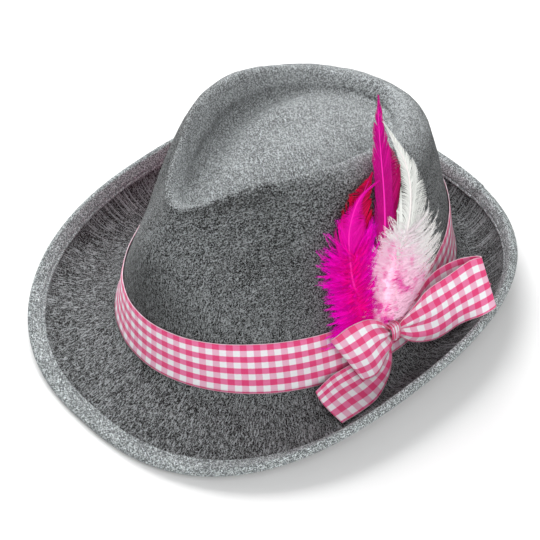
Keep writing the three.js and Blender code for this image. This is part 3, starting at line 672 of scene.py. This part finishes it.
def smooth(values, share):
    """A smooth curve through the rows of values at shares 0 to 1 of the way along."""
    values = np.asarray(values, float)
    if values.ndim == 1:
        values = values[:, None]
    spot = np.clip(np.asarray(share, float), 0, 1) * (len(values) - 1)
    i = np.minimum(np.floor(spot).astype(int), len(values) - 2)
    u = (spot - i)[..., None]
    before, after = values[np.maximum(i - 1, 0)], values[np.minimum(i + 2, len(values) - 1)]
    a, b = values[i], values[i + 1]
    return (a * (2 * u**3 - 3 * u**2 + 1) + (b - before) / 2 * (u**3 - 2 * u**2 + u)
            + b * (3 * u**2 - 2 * u**3) + (after - a) / 2 * (u**3 - u**2))


# The bow. Rows from the knot outward: the ribbon's upper edge and then its lower edge, as side,
# rise and out, and then belly and pleat, all as shares of the ribbon's width
BOW = {
    "loop_front": [
        (-0.285, -0.27, 0.27, -0.285, -0.5, 0.27, 0, 0.04),
        (-0.55, 0.02, 0.33, -0.38, -0.6, 0.4, 0.05, 0.04),
        (-0.82, 0.18, 0.3, -0.59, -0.69, 0.47, 0.06, 0.02),
        (-1.13, 0.14, 0.2, -0.8, -0.88, 0.45, 0.06, 0),
        (-1.34, -0.02, 0.06, -0.99, -0.94, 0.36, 0.03, 0),
        (-1.39, -0.1, -0.03, -1.02, -0.93, 0.3, 0, 0),
        (-1.31, -0.13, -0.05, -0.96, -0.9, 0.26, 0, 0),
        (-1.07, -0.13, 0, -0.78, -0.85, 0.27, 0, 0),
        (-0.72, -0.17, 0.07, -0.56, -0.69, 0.24, 0, 0),
        (-0.285, -0.32, 0.18, -0.285, -0.45, 0.18, 0, 0)],
    "loop_back": [
        (-0.045, -0.27, 0.27, -0.045, -0.52, 0.27, 0, 0.04),
        (0.22, 0.06, 0.42, 0.13, -0.69, 0.45, 0.04, 0.04),
        (0.47, 0.25, 0.5, 0.47, -0.71, 0.67, 0.07, 0.02),
        (0.83, 0.4, 0.65, 0.92, -0.52, 0.86, 0.06, 0),
        (1.27, 0.56, 0.78, 1.17, -0.365, 1.14, 0.03, 0),
        (1.47, 0.57, 0.87, 1.39, -0.255, 1.25, 0, 0),
        (1.45, 0.56, 0.74, 1.38, -0.255, 1.11, 0, 0),
        (1.17, 0.49, 0.48, 1.17, -0.42, 0.76, 0, 0),
        (0.79, 0.28, 0.27, 0.78, -0.6, 0.47, 0, 0),
        (0.32, -0.11, 0.22, 0.29, -0.6, 0.31, 0, 0),
        (-0.045, -0.33, 0.18, -0.045, -0.46, 0.18, 0, 0)],
    "tail_front": [
        (-0.25, -0.45, 0.12, -0.14, -0.45, 0.12, 0, 0),
        (-0.32, -0.61, 0.12, -0.12, -0.69, 0.13, 0, 0.01),
        (-0.45, -0.72, 0.1, -0.2, -0.97, 0.25, 0, 0.03),
        (-0.71, -0.76, 0.05, -0.44, -1.18, 0.38, -0.03, 0.03),
        (-1.03, -0.78, -0.01, -0.88, -1.31, 0.52, -0.1, 0.01),
        (-1.4, -0.86, -0.08, -1.32, -1.34, 0.55, -0.14, 0),
        (-1.76, -0.99, -0.1, -1.79, -1.34, 0.55, -0.14, 0)],
    "tail_back": [
        (-0.05, -0.35, 0.13, -0.05, -0.5, 0.13, 0, 0),
        (0.12, -0.38, 0.125, 0.12, -0.6, 0.13, 0, 0),
        (0.35, -0.36, 0.1, 0.35, -0.75, 0.16, 0, 0.02),
        (0.75, -0.3, 0.04, 0.8, -0.84, 0.26, 0.02, 0.01),
        (1.3, -0.2, -0.05, 1.45, -0.78, 0.4, 0.04, 0),
        (1.85, -0.08, -0.2, 2.25, -0.52, 0.38, 0.02, 0)],
}
PLEATS = 2.5


def bow_piece(name):
    table = np.array(BOW[name]) * RIBBON_WIDTH
    steps_per_row, columns = 10, 33
    rows = smooth(table, np.linspace(0, 1, (len(table) - 1) * steps_per_row + 1))
    share = np.linspace(0, 1, columns)[None, :, None]
    up, low = (in_side_frame(rows[:, k], rows[:, k + 1], rows[:, k + 2])[:, None] for k in (0, 3))
    swell = rows[:, 6, None, None] * np.sin(np.pi * share)
    gather = rows[:, 7, None, None] * np.cos(2 * np.pi * PLEATS * share)
    grid = up * (1 - share) + low * share + (swell + gather) * OUT
    run = lengths_down(grid[:, columns // 2])
    width = RIBBON_WIDTH * MM
    uv = np.stack(np.broadcast_arrays(run[:, None] * MM, share[..., 0] * width), -1)
    obj = cloth(name, grid, uv)
    dress(obj, [ribbon], "bow_" + name)
    steps = [np.linalg.norm(np.diff(grid, axis=k), axis=2) for k in (0, 1)]


for piece in BOW:
    bow_piece(piece)


def bow_knot():
    """The crossing turn of ribbon: a short tube round the gathers, with creases along it."""
    width, height, depth = 6.6, 8.6, 6
    theta = np.linspace(0, 2 * np.pi, 49)[:, None]
    t = np.linspace(-1, 1, 17)[None]
    flare = 1.2 - 0.2 * t**2
    crease = 0.28 * np.cos(t * 9 + 0.8 * np.sin(theta))
    squared = lambda v: np.sign(v) * np.abs(v) ** 0.75
    side = -0.165 * RIBBON_WIDTH + t * width / 2 * (1 + 0.06 * np.cos(theta))
    rise = -0.39 * RIBBON_WIDTH + squared(np.cos(theta)) * (height / 2 + crease) * flare * 0.95
    out = 0.15 * RIBBON_WIDTH + depth / 2 + squared(np.sin(theta)) * (depth / 2 + crease) * flare * 0.9
    uv = np.stack(np.broadcast_arrays(theta * 4.8 * MM, (t + 1) * RIBBON_WIDTH / 2 * MM), -1)
    dress(cloth("knot", in_side_frame(side, rise, out), uv), [ribbon], "bow_knot")


bow_knot()

# Feathers: a shaft and a vane of separate barbs each side. Rows from the quill's foot: side and
# rise as shares of the feather length, layer, and the two half widths as shares.
FEATHERS = {
    "red": [
        (-0.065, -0.1, 1.3, 0, 0), (-0.09, 0.08, 1.3, 0.002, 0.002), (-0.14, 0.25, 1.3, 0.045, 0.045),
        (-0.15, 0.4, 1.3, 0.06, 0.065), (-0.125, 0.52, 1.3, 0.07, 0.055), (-0.06, 0.625, 1.3, 0, 0)],
    "back": [
        (-0.033, -0.1, 1.3, 0, 0), (-0.03, 0.08, 2.3, 0.002, 0.002), (-0.02, 0.28, 2.4, 0.05, 0.04),
        (0.005, 0.45, 2.4, 0.05, 0.055), (0.025, 0.6, 2.4, 0.04, 0.055), (0.02, 0.72, 2.4, 0, 0)],
    "long": [
        (-0.048, -0.1, 1.3, 0, 0), (-0.045, 0.08, 3.3, 0.002, 0.002), (-0.035, 0.3, 3.5, 0.045, 0.04),
        (-0.025, 0.5, 3.5, 0.055, 0.045), (-0.028, 0.68, 3.5, 0.05, 0.045), (-0.03, 0.82, 3.5, 0.03, 0.025),
        (-0.025, 0.95, 3.5, 0, 0)],
    "white": [
        (-0.016, -0.1, 1.3, 0, 0), (0.005, 0.08, 4.4, 0.002, 0.002), (0.07, 0.27, 4.6, 0.09, 0.1),
        (0.115, 0.42, 4.6, 0.085, 0.095), (0.11, 0.56, 4.6, 0.05, 0.05), (0.06, 0.69, 4.6, 0.02, 0.015),
        (-0.02, 0.84, 4.6, 0, 0)],
    "small": [
        (-0.082, -0.1, 1.3, 0, 0), (-0.13, 0.04, 2.6, 0.002, 0.002), (-0.2, 0.17, 4.6, 0.03, 0.03),
        (-0.215, 0.32, 4.6, 0.04, 0.04), (-0.205, 0.45, 4.6, 0.064, 0.066), (-0.15, 0.56, 4.6, 0.012, 0.014),
        (-0.055, 0.6, 4.6, 0, 0)],
}
LAYER_PITCH = 1.2


def tube(path, radius, sides=8):
    along = unit(np.gradient(path, axis=0))
    side = unit(np.cross(along, OUT))
    up = np.cross(side, along)
    a = 2 * np.pi * np.arange(sides) / sides
    points = (path[:, None] + side[:, None] * (np.cos(a)[None, :, None] * radius[:, None, None])
              + up[:, None] * (np.sin(a)[None, :, None] * radius[:, None, None]))
    n = len(path)
    return points.reshape(-1, 3), [quads(n, sides, True), np.arange(sides)[None, ::-1],
                                   np.arange(sides)[None] + (n - 1) * sides]


def prisms(paths, widths, depth, lie):
    """Closed three-sided barbs along paths of count by steps by 3. widths are across the face
    lie, and depth is the ridge's height as a share of the width."""
    count, steps = paths.shape[:2]
    across = unit(np.cross(np.gradient(paths, axis=1), np.broadcast_to(lie, paths.shape)))
    half = across * widths[..., None] / 2
    points = np.stack([paths + half, paths - half, paths + lie * (widths * depth)[..., None]], 2)
    end = (steps - 1) * 3
    faces = [quads(steps, 3, True), [[0, 2, 1], [end, end + 1, end + 2]]]
    return points.reshape(-1, 3), [copies(block, count, steps * 3) for block in faces]


def spikes(roots, tips, width, lie):
    """Closed four-sided needles from roots to tips."""
    along = unit(tips - roots)
    across = unit(np.cross(along, np.broadcast_to(lie, roots.shape))) * width / 2
    points = np.stack([roots + across, roots - across, roots + lie * width * 0.6, tips], 1)
    return points.reshape(-1, 3), [copies([[0, 2, 1], [0, 1, 3], [1, 2, 3], [2, 0, 3]], len(roots), 4)]


def join_parts(name, parts):
    """One mesh object from parts of points, faces, UV and material."""
    points, uv, faces, index, start = [], [], [], [], 0
    for p, f, t, m in parts:
        points.append(p)
        uv.append(t)
        for block in f:
            faces.append(np.asarray(block) + start)
            index.append(np.full(len(block), m))
        start += len(p)
    obj = make(name, np.concatenate(points), faces, np.concatenate(uv))
    obj.data.polygons.foreach_set("material_index", np.concatenate(index).astype(np.int32))
    return obj


def bezier(a, b, c, s):
    """Quadratic curves from a to c by way of b, count by 2 each, at shares s."""
    s = s[..., None]
    return a[:, None] * (1 - s) ** 2 + b[:, None] * 2 * s * (1 - s) + c[:, None] * s**2


def tint(s, number, copies):
    """UV of every vertex of a barb: u from its root to its tip, v its own number."""
    pair = np.stack(np.broadcast_arrays(s, number[:, None]), -1)
    return np.repeat(pair[:, :, None], copies, 2).reshape(-1, 2)


def barb_material(name, base, edge, root, variety, glow, dye_and_shade=None):
    """Dyed barbs: UV u runs from the barb's root to its tip, v is a number for each barb. The glow is
    painted light, an emission that stands for the light that passes through the thin barbs.
    dye_and_shade is a colour, where it starts and is full, in metres up and back from the bow, and
    the colour of its patches: painted shade on the magenta feather, the down's own pink on the white down."""
    m = Nodes(name, Roughness=0.55, Specular_IOR_Level=0.1, Emission_Strength=glow)
    u, v, _ = m.split(m.uv())
    colour = m.mix(m.ramp(u, 0.0, 0.35), root, base)
    colour = m.mix(m.ramp(u, 0.45, 1.0), colour, edge)
    streak = m.noise(m.scaled(m.uv(), (3, 400, 1)), 1, 2)
    dim = m.ramp(m.plus(m.times(v, 0.7), m.times(streak, 0.3)), 0.15, 0.85, 1 - variety, 1.0)
    colour = m.mix(1.0, colour, m.grey(dim), "MULTIPLY")
    if dye_and_shade:
        # Colour towards the foot: painted shade on the magenta feather, the down's own pink on the white
        # down
        shade, start, full, patches = dye_and_shade
        away = m.vector("DOT_PRODUCT", m.coordinates(), SIDE + RISE)
        away = m.plus(m.plus(away, -ORIGIN.dot(SIDE + RISE) * MM), m.centred(v, 0.016))
        patch = m.ramp(m.noise(m.coordinates(), 120, 2), 0.52, 0.66)
        colour = m.mix(m.ramp(away, start, full), colour, m.mix(patch, shade, patches))
    m.surface("Base Color", colour)
    m.surface("Emission Color", colour)
    m.bump(streak, 0.0002, 0.5)
    return m.material


STEPS = 9
ALONG = np.linspace(0, 1, STEPS)[None]
BASE_OUT = CLEARANCE + 0.4
PITCH = 0.4


def feather(name, materials, seed, angle, pitch, locks=12, fray=0.07, clump=0.15, camber=1.1,
            loose=0.0, barb=0.62, lead=(1.5, 1.5), ragged=(1, 1)):
    """Barbs leave the shaft at a steep angle, bend forward and end on the vane's outline. They
    lie in locks, which close up a little towards their ends and leave slits between them.
    Pairs are for the left and the right vane: pitch between barbs, lead as the share of angle
    at which they leave the shaft, and ragged, how much they lie in locks and fray. barb is a
    barb's width at PITCH, camber the vane's bulge and loose how far the locks lean."""
    rng = np.random.default_rng(seed)
    rows = smooth(FEATHERS[name], np.linspace(0, 1, 400))
    flat = rows[:, :2] * FEATHER_LENGTH
    run = lengths_down(flat)
    total = run[-1]
    ahead = unit(np.gradient(flat, axis=0))
    sideways = np.stack([-ahead[:, 1], ahead[:, 0]], -1)
    at = lambda values, r: np.stack([np.interp(r, run, column) for column in values.T], -1)
    first = np.interp(0.01, rows[:200, 3], run[:200])
    quill = off_wall(flat[:, 0], flat[:, 1], BASE_OUT + rows[:, 2] * LAYER_PITCH)
    points, faces = tube(quill + OUT * 0.3, np.interp(run / total, [0, 0.5, 1], [0.8, 0.55, 0.12]))
    parts = [(points, faces, np.zeros((len(points), 2)), 1)]
    for sign, column, step, lead_share, rag in zip((1, -1), (3, 4), pitch, lead, ragged):
        width = np.maximum(rows[:, column], 0) * FEATHER_LENGTH
        count = int((total - first) / step)
        root = first + (np.arange(count) + rng.uniform(0.3, 0.7, count)) * (total - first) / count
        lock = np.searchsorted(np.sort(rng.uniform(first, total, locks)), root)
        each_lock = range(locks + 1)
        middle = np.array([root[lock == k].mean() if (lock == k).any() else 0 for k in each_lock])[lock]
        lean = rng.normal(0, 1, locks + 1)[lock]
        uneven = fray * rng.normal(0, 1, locks + 1)[lock] + 0.05 * rng.normal(0, 1, count)
        # The end's place along the shaft depends on the width there, so it is found by steps
        end = root
        for _ in range(6):
            end = root + np.interp(end, run, width) / math.tan(math.radians(angle))
        end = end + rag * ((middle - root) * clump + loose * lean) + rng.normal(0, 0.3, count)
        end = np.clip(end, root + 1, total - 0.02 * (total - root))
        reach = np.interp(end, run, width) * (1 + rag * uneven)
        tip = at(flat, end) + at(sideways, end) * sign * reach[:, None]
        start = at(flat, root)
        chord = np.linalg.norm(tip - start, axis=1)[:, None]
        leave = math.radians(angle * lead_share)
        control = start + chord * 0.5 * (at(ahead, root) * math.cos(leave)
                                         + at(sideways, root) * sign * math.sin(leave))
        spot = bezier(start, control, tip, ALONG)
        lift = np.abs(rng.normal(0, 0.3, locks + 1))[lock][:, None]
        overlap = (np.arange(count) % 3)[:, None] * 0.08
        out = BASE_OUT + np.interp(root, run, rows[:, 2])[:, None] * LAYER_PITCH + overlap
        out = out + camber * np.sin(ALONG * 2.4) * 0.5 + lift * ALONG**1.5
        paths = off_wall(spot[..., 0], spot[..., 1], out)
        widths = barb * step / PITCH * (1 - 0.75 * ALONG**2) * np.ones((count, 1))
        points, faces = prisms(paths, widths, 0.35, unit(OUT + 0.25 * SIDE * sign))
        parts.append((points, faces, tint(ALONG, rng.uniform(0, 1, count), 3), 0))
    dress(join_parts(name + "_feather", parts), materials, "feather_" + name)


# The last number of each material is its glow: painted light through the thin quills and barbs
shaft_pink = barb_material("quill_pink", *[rgb(232, 40, 170)] * 3, 0.1, 0.3)
shaft_white = barb_material("quill_white", *[rgb(236, 230, 228)] * 3, 0.1, 0.15)
crimson = barb_material("barbs_crimson", rgb(204, 0, 84), rgb(222, 0, 62), rgb(160, 0, 70), 0.6, 0.16)
plum = barb_material("barbs_plum", rgb(190, 0, 112), rgb(200, 0, 100), rgb(150, 0, 92), 0.6, 0.12)
# The magenta feather is darker towards its foot: painted shade where the other feathers cover it
magenta = barb_material("barbs_magenta", rgb(214, 0, 150), rgb(210, 0, 136), rgb(196, 0, 138), 0.5, 0.12,
                        (rgb(168, 0, 112), 0.095, 0.065, rgb(180, 0, 120)))
hot = barb_material("barbs_hot", rgb(220, 0, 160), rgb(216, 0, 146), rgb(224, 0, 168), 0.2, 0.14)
white = barb_material("barbs_white", rgb(236, 238, 234), rgb(242, 243, 240), rgb(222, 216, 218), 0.25, 0.1)

feather("red", [crimson, shaft_pink], 11,
        angle=30, pitch=(0.42, 0.6), clump=0.25)
feather("back", [plum, shaft_pink], 12,
        angle=22, pitch=(0.5, 0.42))
feather("long", [magenta, shaft_pink], 13,
        angle=18, pitch=(0.34, 0.44), locks=14, fray=0.08, clump=0.2, loose=0.5, barb=0.46)
feather("white", [white, shaft_white], 14,
        angle=14, pitch=(0.25, 0.22), locks=24, fray=0.1, clump=0.12, camber=1.4, loose=0.8, barb=0.6,
        lead=(1.3, 0.7), ragged=(0.3, 1))
feather("small", [hot, shaft_pink], 15,
        angle=24, pitch=(0.3, 0.3), fray=0.05, clump=0.1, camber=1.2, loose=0.2)

# Down: strands that leave a quill line and end on an outline, in millimetres, each with fine
# barbules. Rows: quill side and rise, then the left and the right end's side and rise.
DOWN = {
    "magenta": [
        (-22, -1, -43, -8, -19, -1), (-24, 8, -38, 1, -15, 10), (-27, 17, -38, 14, -13, 22),
        (-29, 26, -39, 26, -13, 34), (-29, 34, -40, 38, -12, 46), (-28, 41, -39, 47, -12, 55)],
    "white": [
        (-12, -3, -18, 0, 14, -5), (-10, 7, -17, 10, 27, 4), (-8, 17, -16, 22, 37, 12),
        (-4, 26, -14, 33, 42, 20), (1, 34, -8, 42, 38, 31), (8, 41, 3, 48, 30, 44)],
}
# Single locks that stand out of the down: start, end, strands and spread
WISPS = {
    "magenta": [
        (-28, 41, -39, 58, 9, 0.9), (-29, 38, -40, 50, 7, 0.9), (-30, 34, -44, 50, 6, 1.1),
        (-30, 28, -45, 31, 7, 1.2), (-29, 44, -33, 64, 6, 0.7), (-27, 34, -12, 57, 14, 2.0),
        (-29, 30, -43, 40, 8, 1.6), (-28, 20, -42, 21, 7, 1.6)],
    "white": [
        (10, 34, 26, 55, 9, 1.0), (10, 34, 30, 50, 9, 1.0), (6, 30, 32, 42, 12, 1.4),
        (2, 26, 38, 31, 14, 1.4), (0, 24, 44, 21, 12, 0.9), (6, 36, -5, 50, 8, 1.2),
        (6, 38, -1, 54, 8, 1.2), (0, 26, -9, 46, 10, 1.8)],
}
STRANDS, BARBULES = 640, 54


def mat(table, base):
    """The thin mat under the strands, inside their outline."""
    line = smooth(table, np.linspace(0, 1, 24))
    quill, left, right = line[:, None, 0:2], line[:, None, 2:4], line[:, None, 4:6]
    t = np.linspace(-1, 1, 25)[None, :, None]
    flat = quill + np.where(t < 0, (left - quill) * -t, (right - quill) * t) * 0.72
    at = lambda out: off_wall(flat[..., 0], flat[..., 1], out)
    points, faces = shell(at(base + 1.6 * (1 - t[..., 0] ** 2)), at(base - 0.3))
    return points, faces, np.tile([[0.2, 0.3]], (len(points), 1)), 0


def down(name, material, seed, layer, thickness):
    """Strands of down over a thin mat. The barbules lie close along their strand."""
    rng = np.random.default_rng(seed)
    table = np.array(DOWN[name])
    base = BASE_OUT + layer * LAYER_PITCH
    rows = smooth(table, np.sort(rng.uniform(0, 1, STRANDS)))
    to_right = rng.uniform(0, 1, STRANDS) < 0.6
    ends = np.where(to_right[:, None], rows[:, 4:6], rows[:, 2:4])
    start = rows[:, 0:2]
    reach = np.where(rng.uniform(0, 1, STRANDS) < 0.5, rng.uniform(0.75, 1.06, STRANDS),
                     rng.uniform(0.35, 0.9, STRANDS))
    tip = start + (ends - start) * reach[:, None] + rng.normal(0, 2.2, (STRANDS, 2))
    start = start + (tip - start) * rng.uniform(0, 0.45, STRANDS)[:, None]
    wisps = np.array(WISPS[name])
    wisps = np.repeat(wisps, wisps[:, 4].astype(int), 0)
    extra, spread = len(wisps), wisps[:, 5:6]
    start = np.concatenate([start, wisps[:, 0:2] + rng.normal(0, 1, (extra, 2)) * spread])
    tip = np.concatenate([tip, wisps[:, 2:4] + rng.normal(0, 0.5, (extra, 2)) * spread])
    to_right = np.append(to_right, wisps[:, 2] > wisps[:, 0])
    reach = np.append(reach, np.ones(extra))[:, None]
    fine = np.append(np.ones(STRANDS), np.full(extra, 0.35))[:, None, None]
    count = STRANDS + extra
    draw = lambda low, high: rng.uniform(low, high, count)[:, None]
    chord = tip - start
    bow = np.stack([-chord[:, 1], chord[:, 0]], -1) * rng.normal(0.08, 0.1, count)[:, None]
    control = start + chord * 0.5 - bow * np.where(to_right, 1, -1)[:, None]
    spot = bezier(start, control, tip, ALONG)
    wave = 0.35 * np.sin(ALONG * draw(4, 9) + draw(0, 6))
    out = base + thickness * draw(0.1, 1) * (1 - 0.62 * (ALONG * reach) ** 2) + wave * 0.6
    paths = off_wall(spot[..., 0] + wave * 0.4, spot[..., 1] + wave, out)
    number = rng.uniform(0, 1, count)
    points, faces = prisms(paths, 0.24 * (1 - 0.7 * ALONG) * np.ones((count, 1)), 0.5, OUT)
    parts = [mat(table, base), (points, faces, tint(ALONG, number, 3), 0)]
    # Barbules start at places between two steps of their strand
    spots = rng.uniform(0.02, 1, (count, BARBULES))
    i = np.minimum((spots * (STEPS - 1)).astype(int), STEPS - 2)
    u = (spots * (STEPS - 1) - i)[..., None]
    index = np.arange(count)[:, None]
    root = paths[index, i] * (1 - u) + paths[index, i + 1] * u
    along = unit(paths[index, i + 1] - paths[index, i])
    size = (count, BARBULES, 1)
    across = unit(np.cross(along, OUT)) * rng.choice([-1, 1], size[:2])[..., None]
    length = rng.uniform(2.5, 7.0, size) * (1 - 0.45 * spots[..., None]) * fine
    point = root + length * (along * rng.uniform(0.75, 1.0, size) + across * rng.uniform(0.04, 0.34, size)
                             + OUT * rng.normal(0.02, 0.1, size))
    points, faces = spikes(root.reshape(-1, 3), point.reshape(-1, 3), 0.15, OUT)
    parts.append((points, faces, tint(spots, number, 4), 0))
    dress(join_parts(name + "_down", parts), [material], "plume_" + name)


# The down's glow is painted light that brightens it in the shade of the feathers
down_hot = barb_material("down_magenta", rgb(230, 0, 174), rgb(242, 10, 206), rgb(226, 0, 124), 0.4, 0.42)
down_pale = barb_material("down_white", rgb(244, 240, 241), rgb(246, 244, 242), rgb(236, 220, 228),
                          0.2, 0.26, (rgb(244, 206, 226), 0.046, 0.026, rgb(228, 78, 176)))
down("magenta", down_hot, 21, 3.0, 5.5)
down("white", down_pale, 22, 3.4, 5.0)

# Floor, light and camera, in metres

FLOOR_HALF = 3.0
corners = np.array([(-1, -1, 0), (1, -1, 0), (1, 1, 0), (-1, 1, 0)])
floor = make("floor", corners * FLOOR_HALF / MM, [[(0, 1, 2, 3)]])
floor.location.z = -0.0004
pale = Nodes("pale_floor", Roughness=0.9)
mottle = pale.noise(pale.coordinates(), 3, 2)
pale.surface("Base Color", pale.mix(mottle, (0.9, 0.9, 0.9, 1), (0.92, 0.92, 0.92, 1)))
floor.data.materials.append(pale.material)
floor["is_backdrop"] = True

world = bpy.data.worlds.new("soft_white")
scene.world = world
world.use_nodes = True
sky = world.node_tree.nodes["Background"].inputs
sky["Color"].default_value = (1, 1, 1, 1)
sky["Strength"].default_value = 0.24
LIGHT_AIM = Vector((0, 0, 0.05))


def area_light(name, place, size, power):
    data = bpy.data.lights.new(name, "AREA")
    data.shape = "DISK"
    data.size = size
    data.energy = power
    obj = bpy.data.objects.new(name, data)
    obj.location = place
    obj.rotation_euler = (LIGHT_AIM - Vector(place)).to_track_quat("-Z", "Y").to_euler()
    scene.collection.objects.link(obj)


area_light("key_behind", (-0.81, 0.3, 0.92), 1.5, 26)
area_light("fill_right", (0.92, -0.4, 0.66), 1.4, 13)
area_light("fill_left", (-0.69, -0.59, 0.79), 0.8, 1.0)

AZIMUTH, ELEVATION, ROLL = (math.radians(angle) for angle in (50.51, 44.34, 3.39))
TARGET, DISTANCE = (0, 0.00038, 0.05), 1.19027
FOCAL_PIXELS, FRAME_PIXELS, SENSOR = 2237.7, 540, 36
SHIFT_PIXELS = (1.15, 38.25)
camera_data = bpy.data.cameras.new("camera")
camera_data.sensor_width = SENSOR
camera_data.lens = SENSOR * FOCAL_PIXELS / FRAME_PIXELS
camera_data.shift_x = -SHIFT_PIXELS[0] / FRAME_PIXELS
camera_data.shift_y = -SHIFT_PIXELS[1] / FRAME_PIXELS
camera = bpy.data.objects.new("camera", camera_data)
# The camera looks down at first. It is rolled, tipped up and turned, and stands back from TARGET.
turned = (Matrix.Rotation(AZIMUTH, 4, "Z") @ Matrix.Rotation(math.pi / 2 - ELEVATION, 4, "X")
          @ Matrix.Rotation(-ROLL, 4, "Z"))
camera.matrix_world = Matrix.Translation(TARGET) @ turned @ Matrix.Translation((0, 0, DISTANCE))
scene.collection.objects.link(camera)
scene.camera = camera
scene.view_settings.view_transform = "Standard"

bpy.context.view_layer.update()
plain = lambda box: [[float(x) for x in corner] for corner in box]
{"cad": plain(cad_box), "visual": plain(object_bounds())}
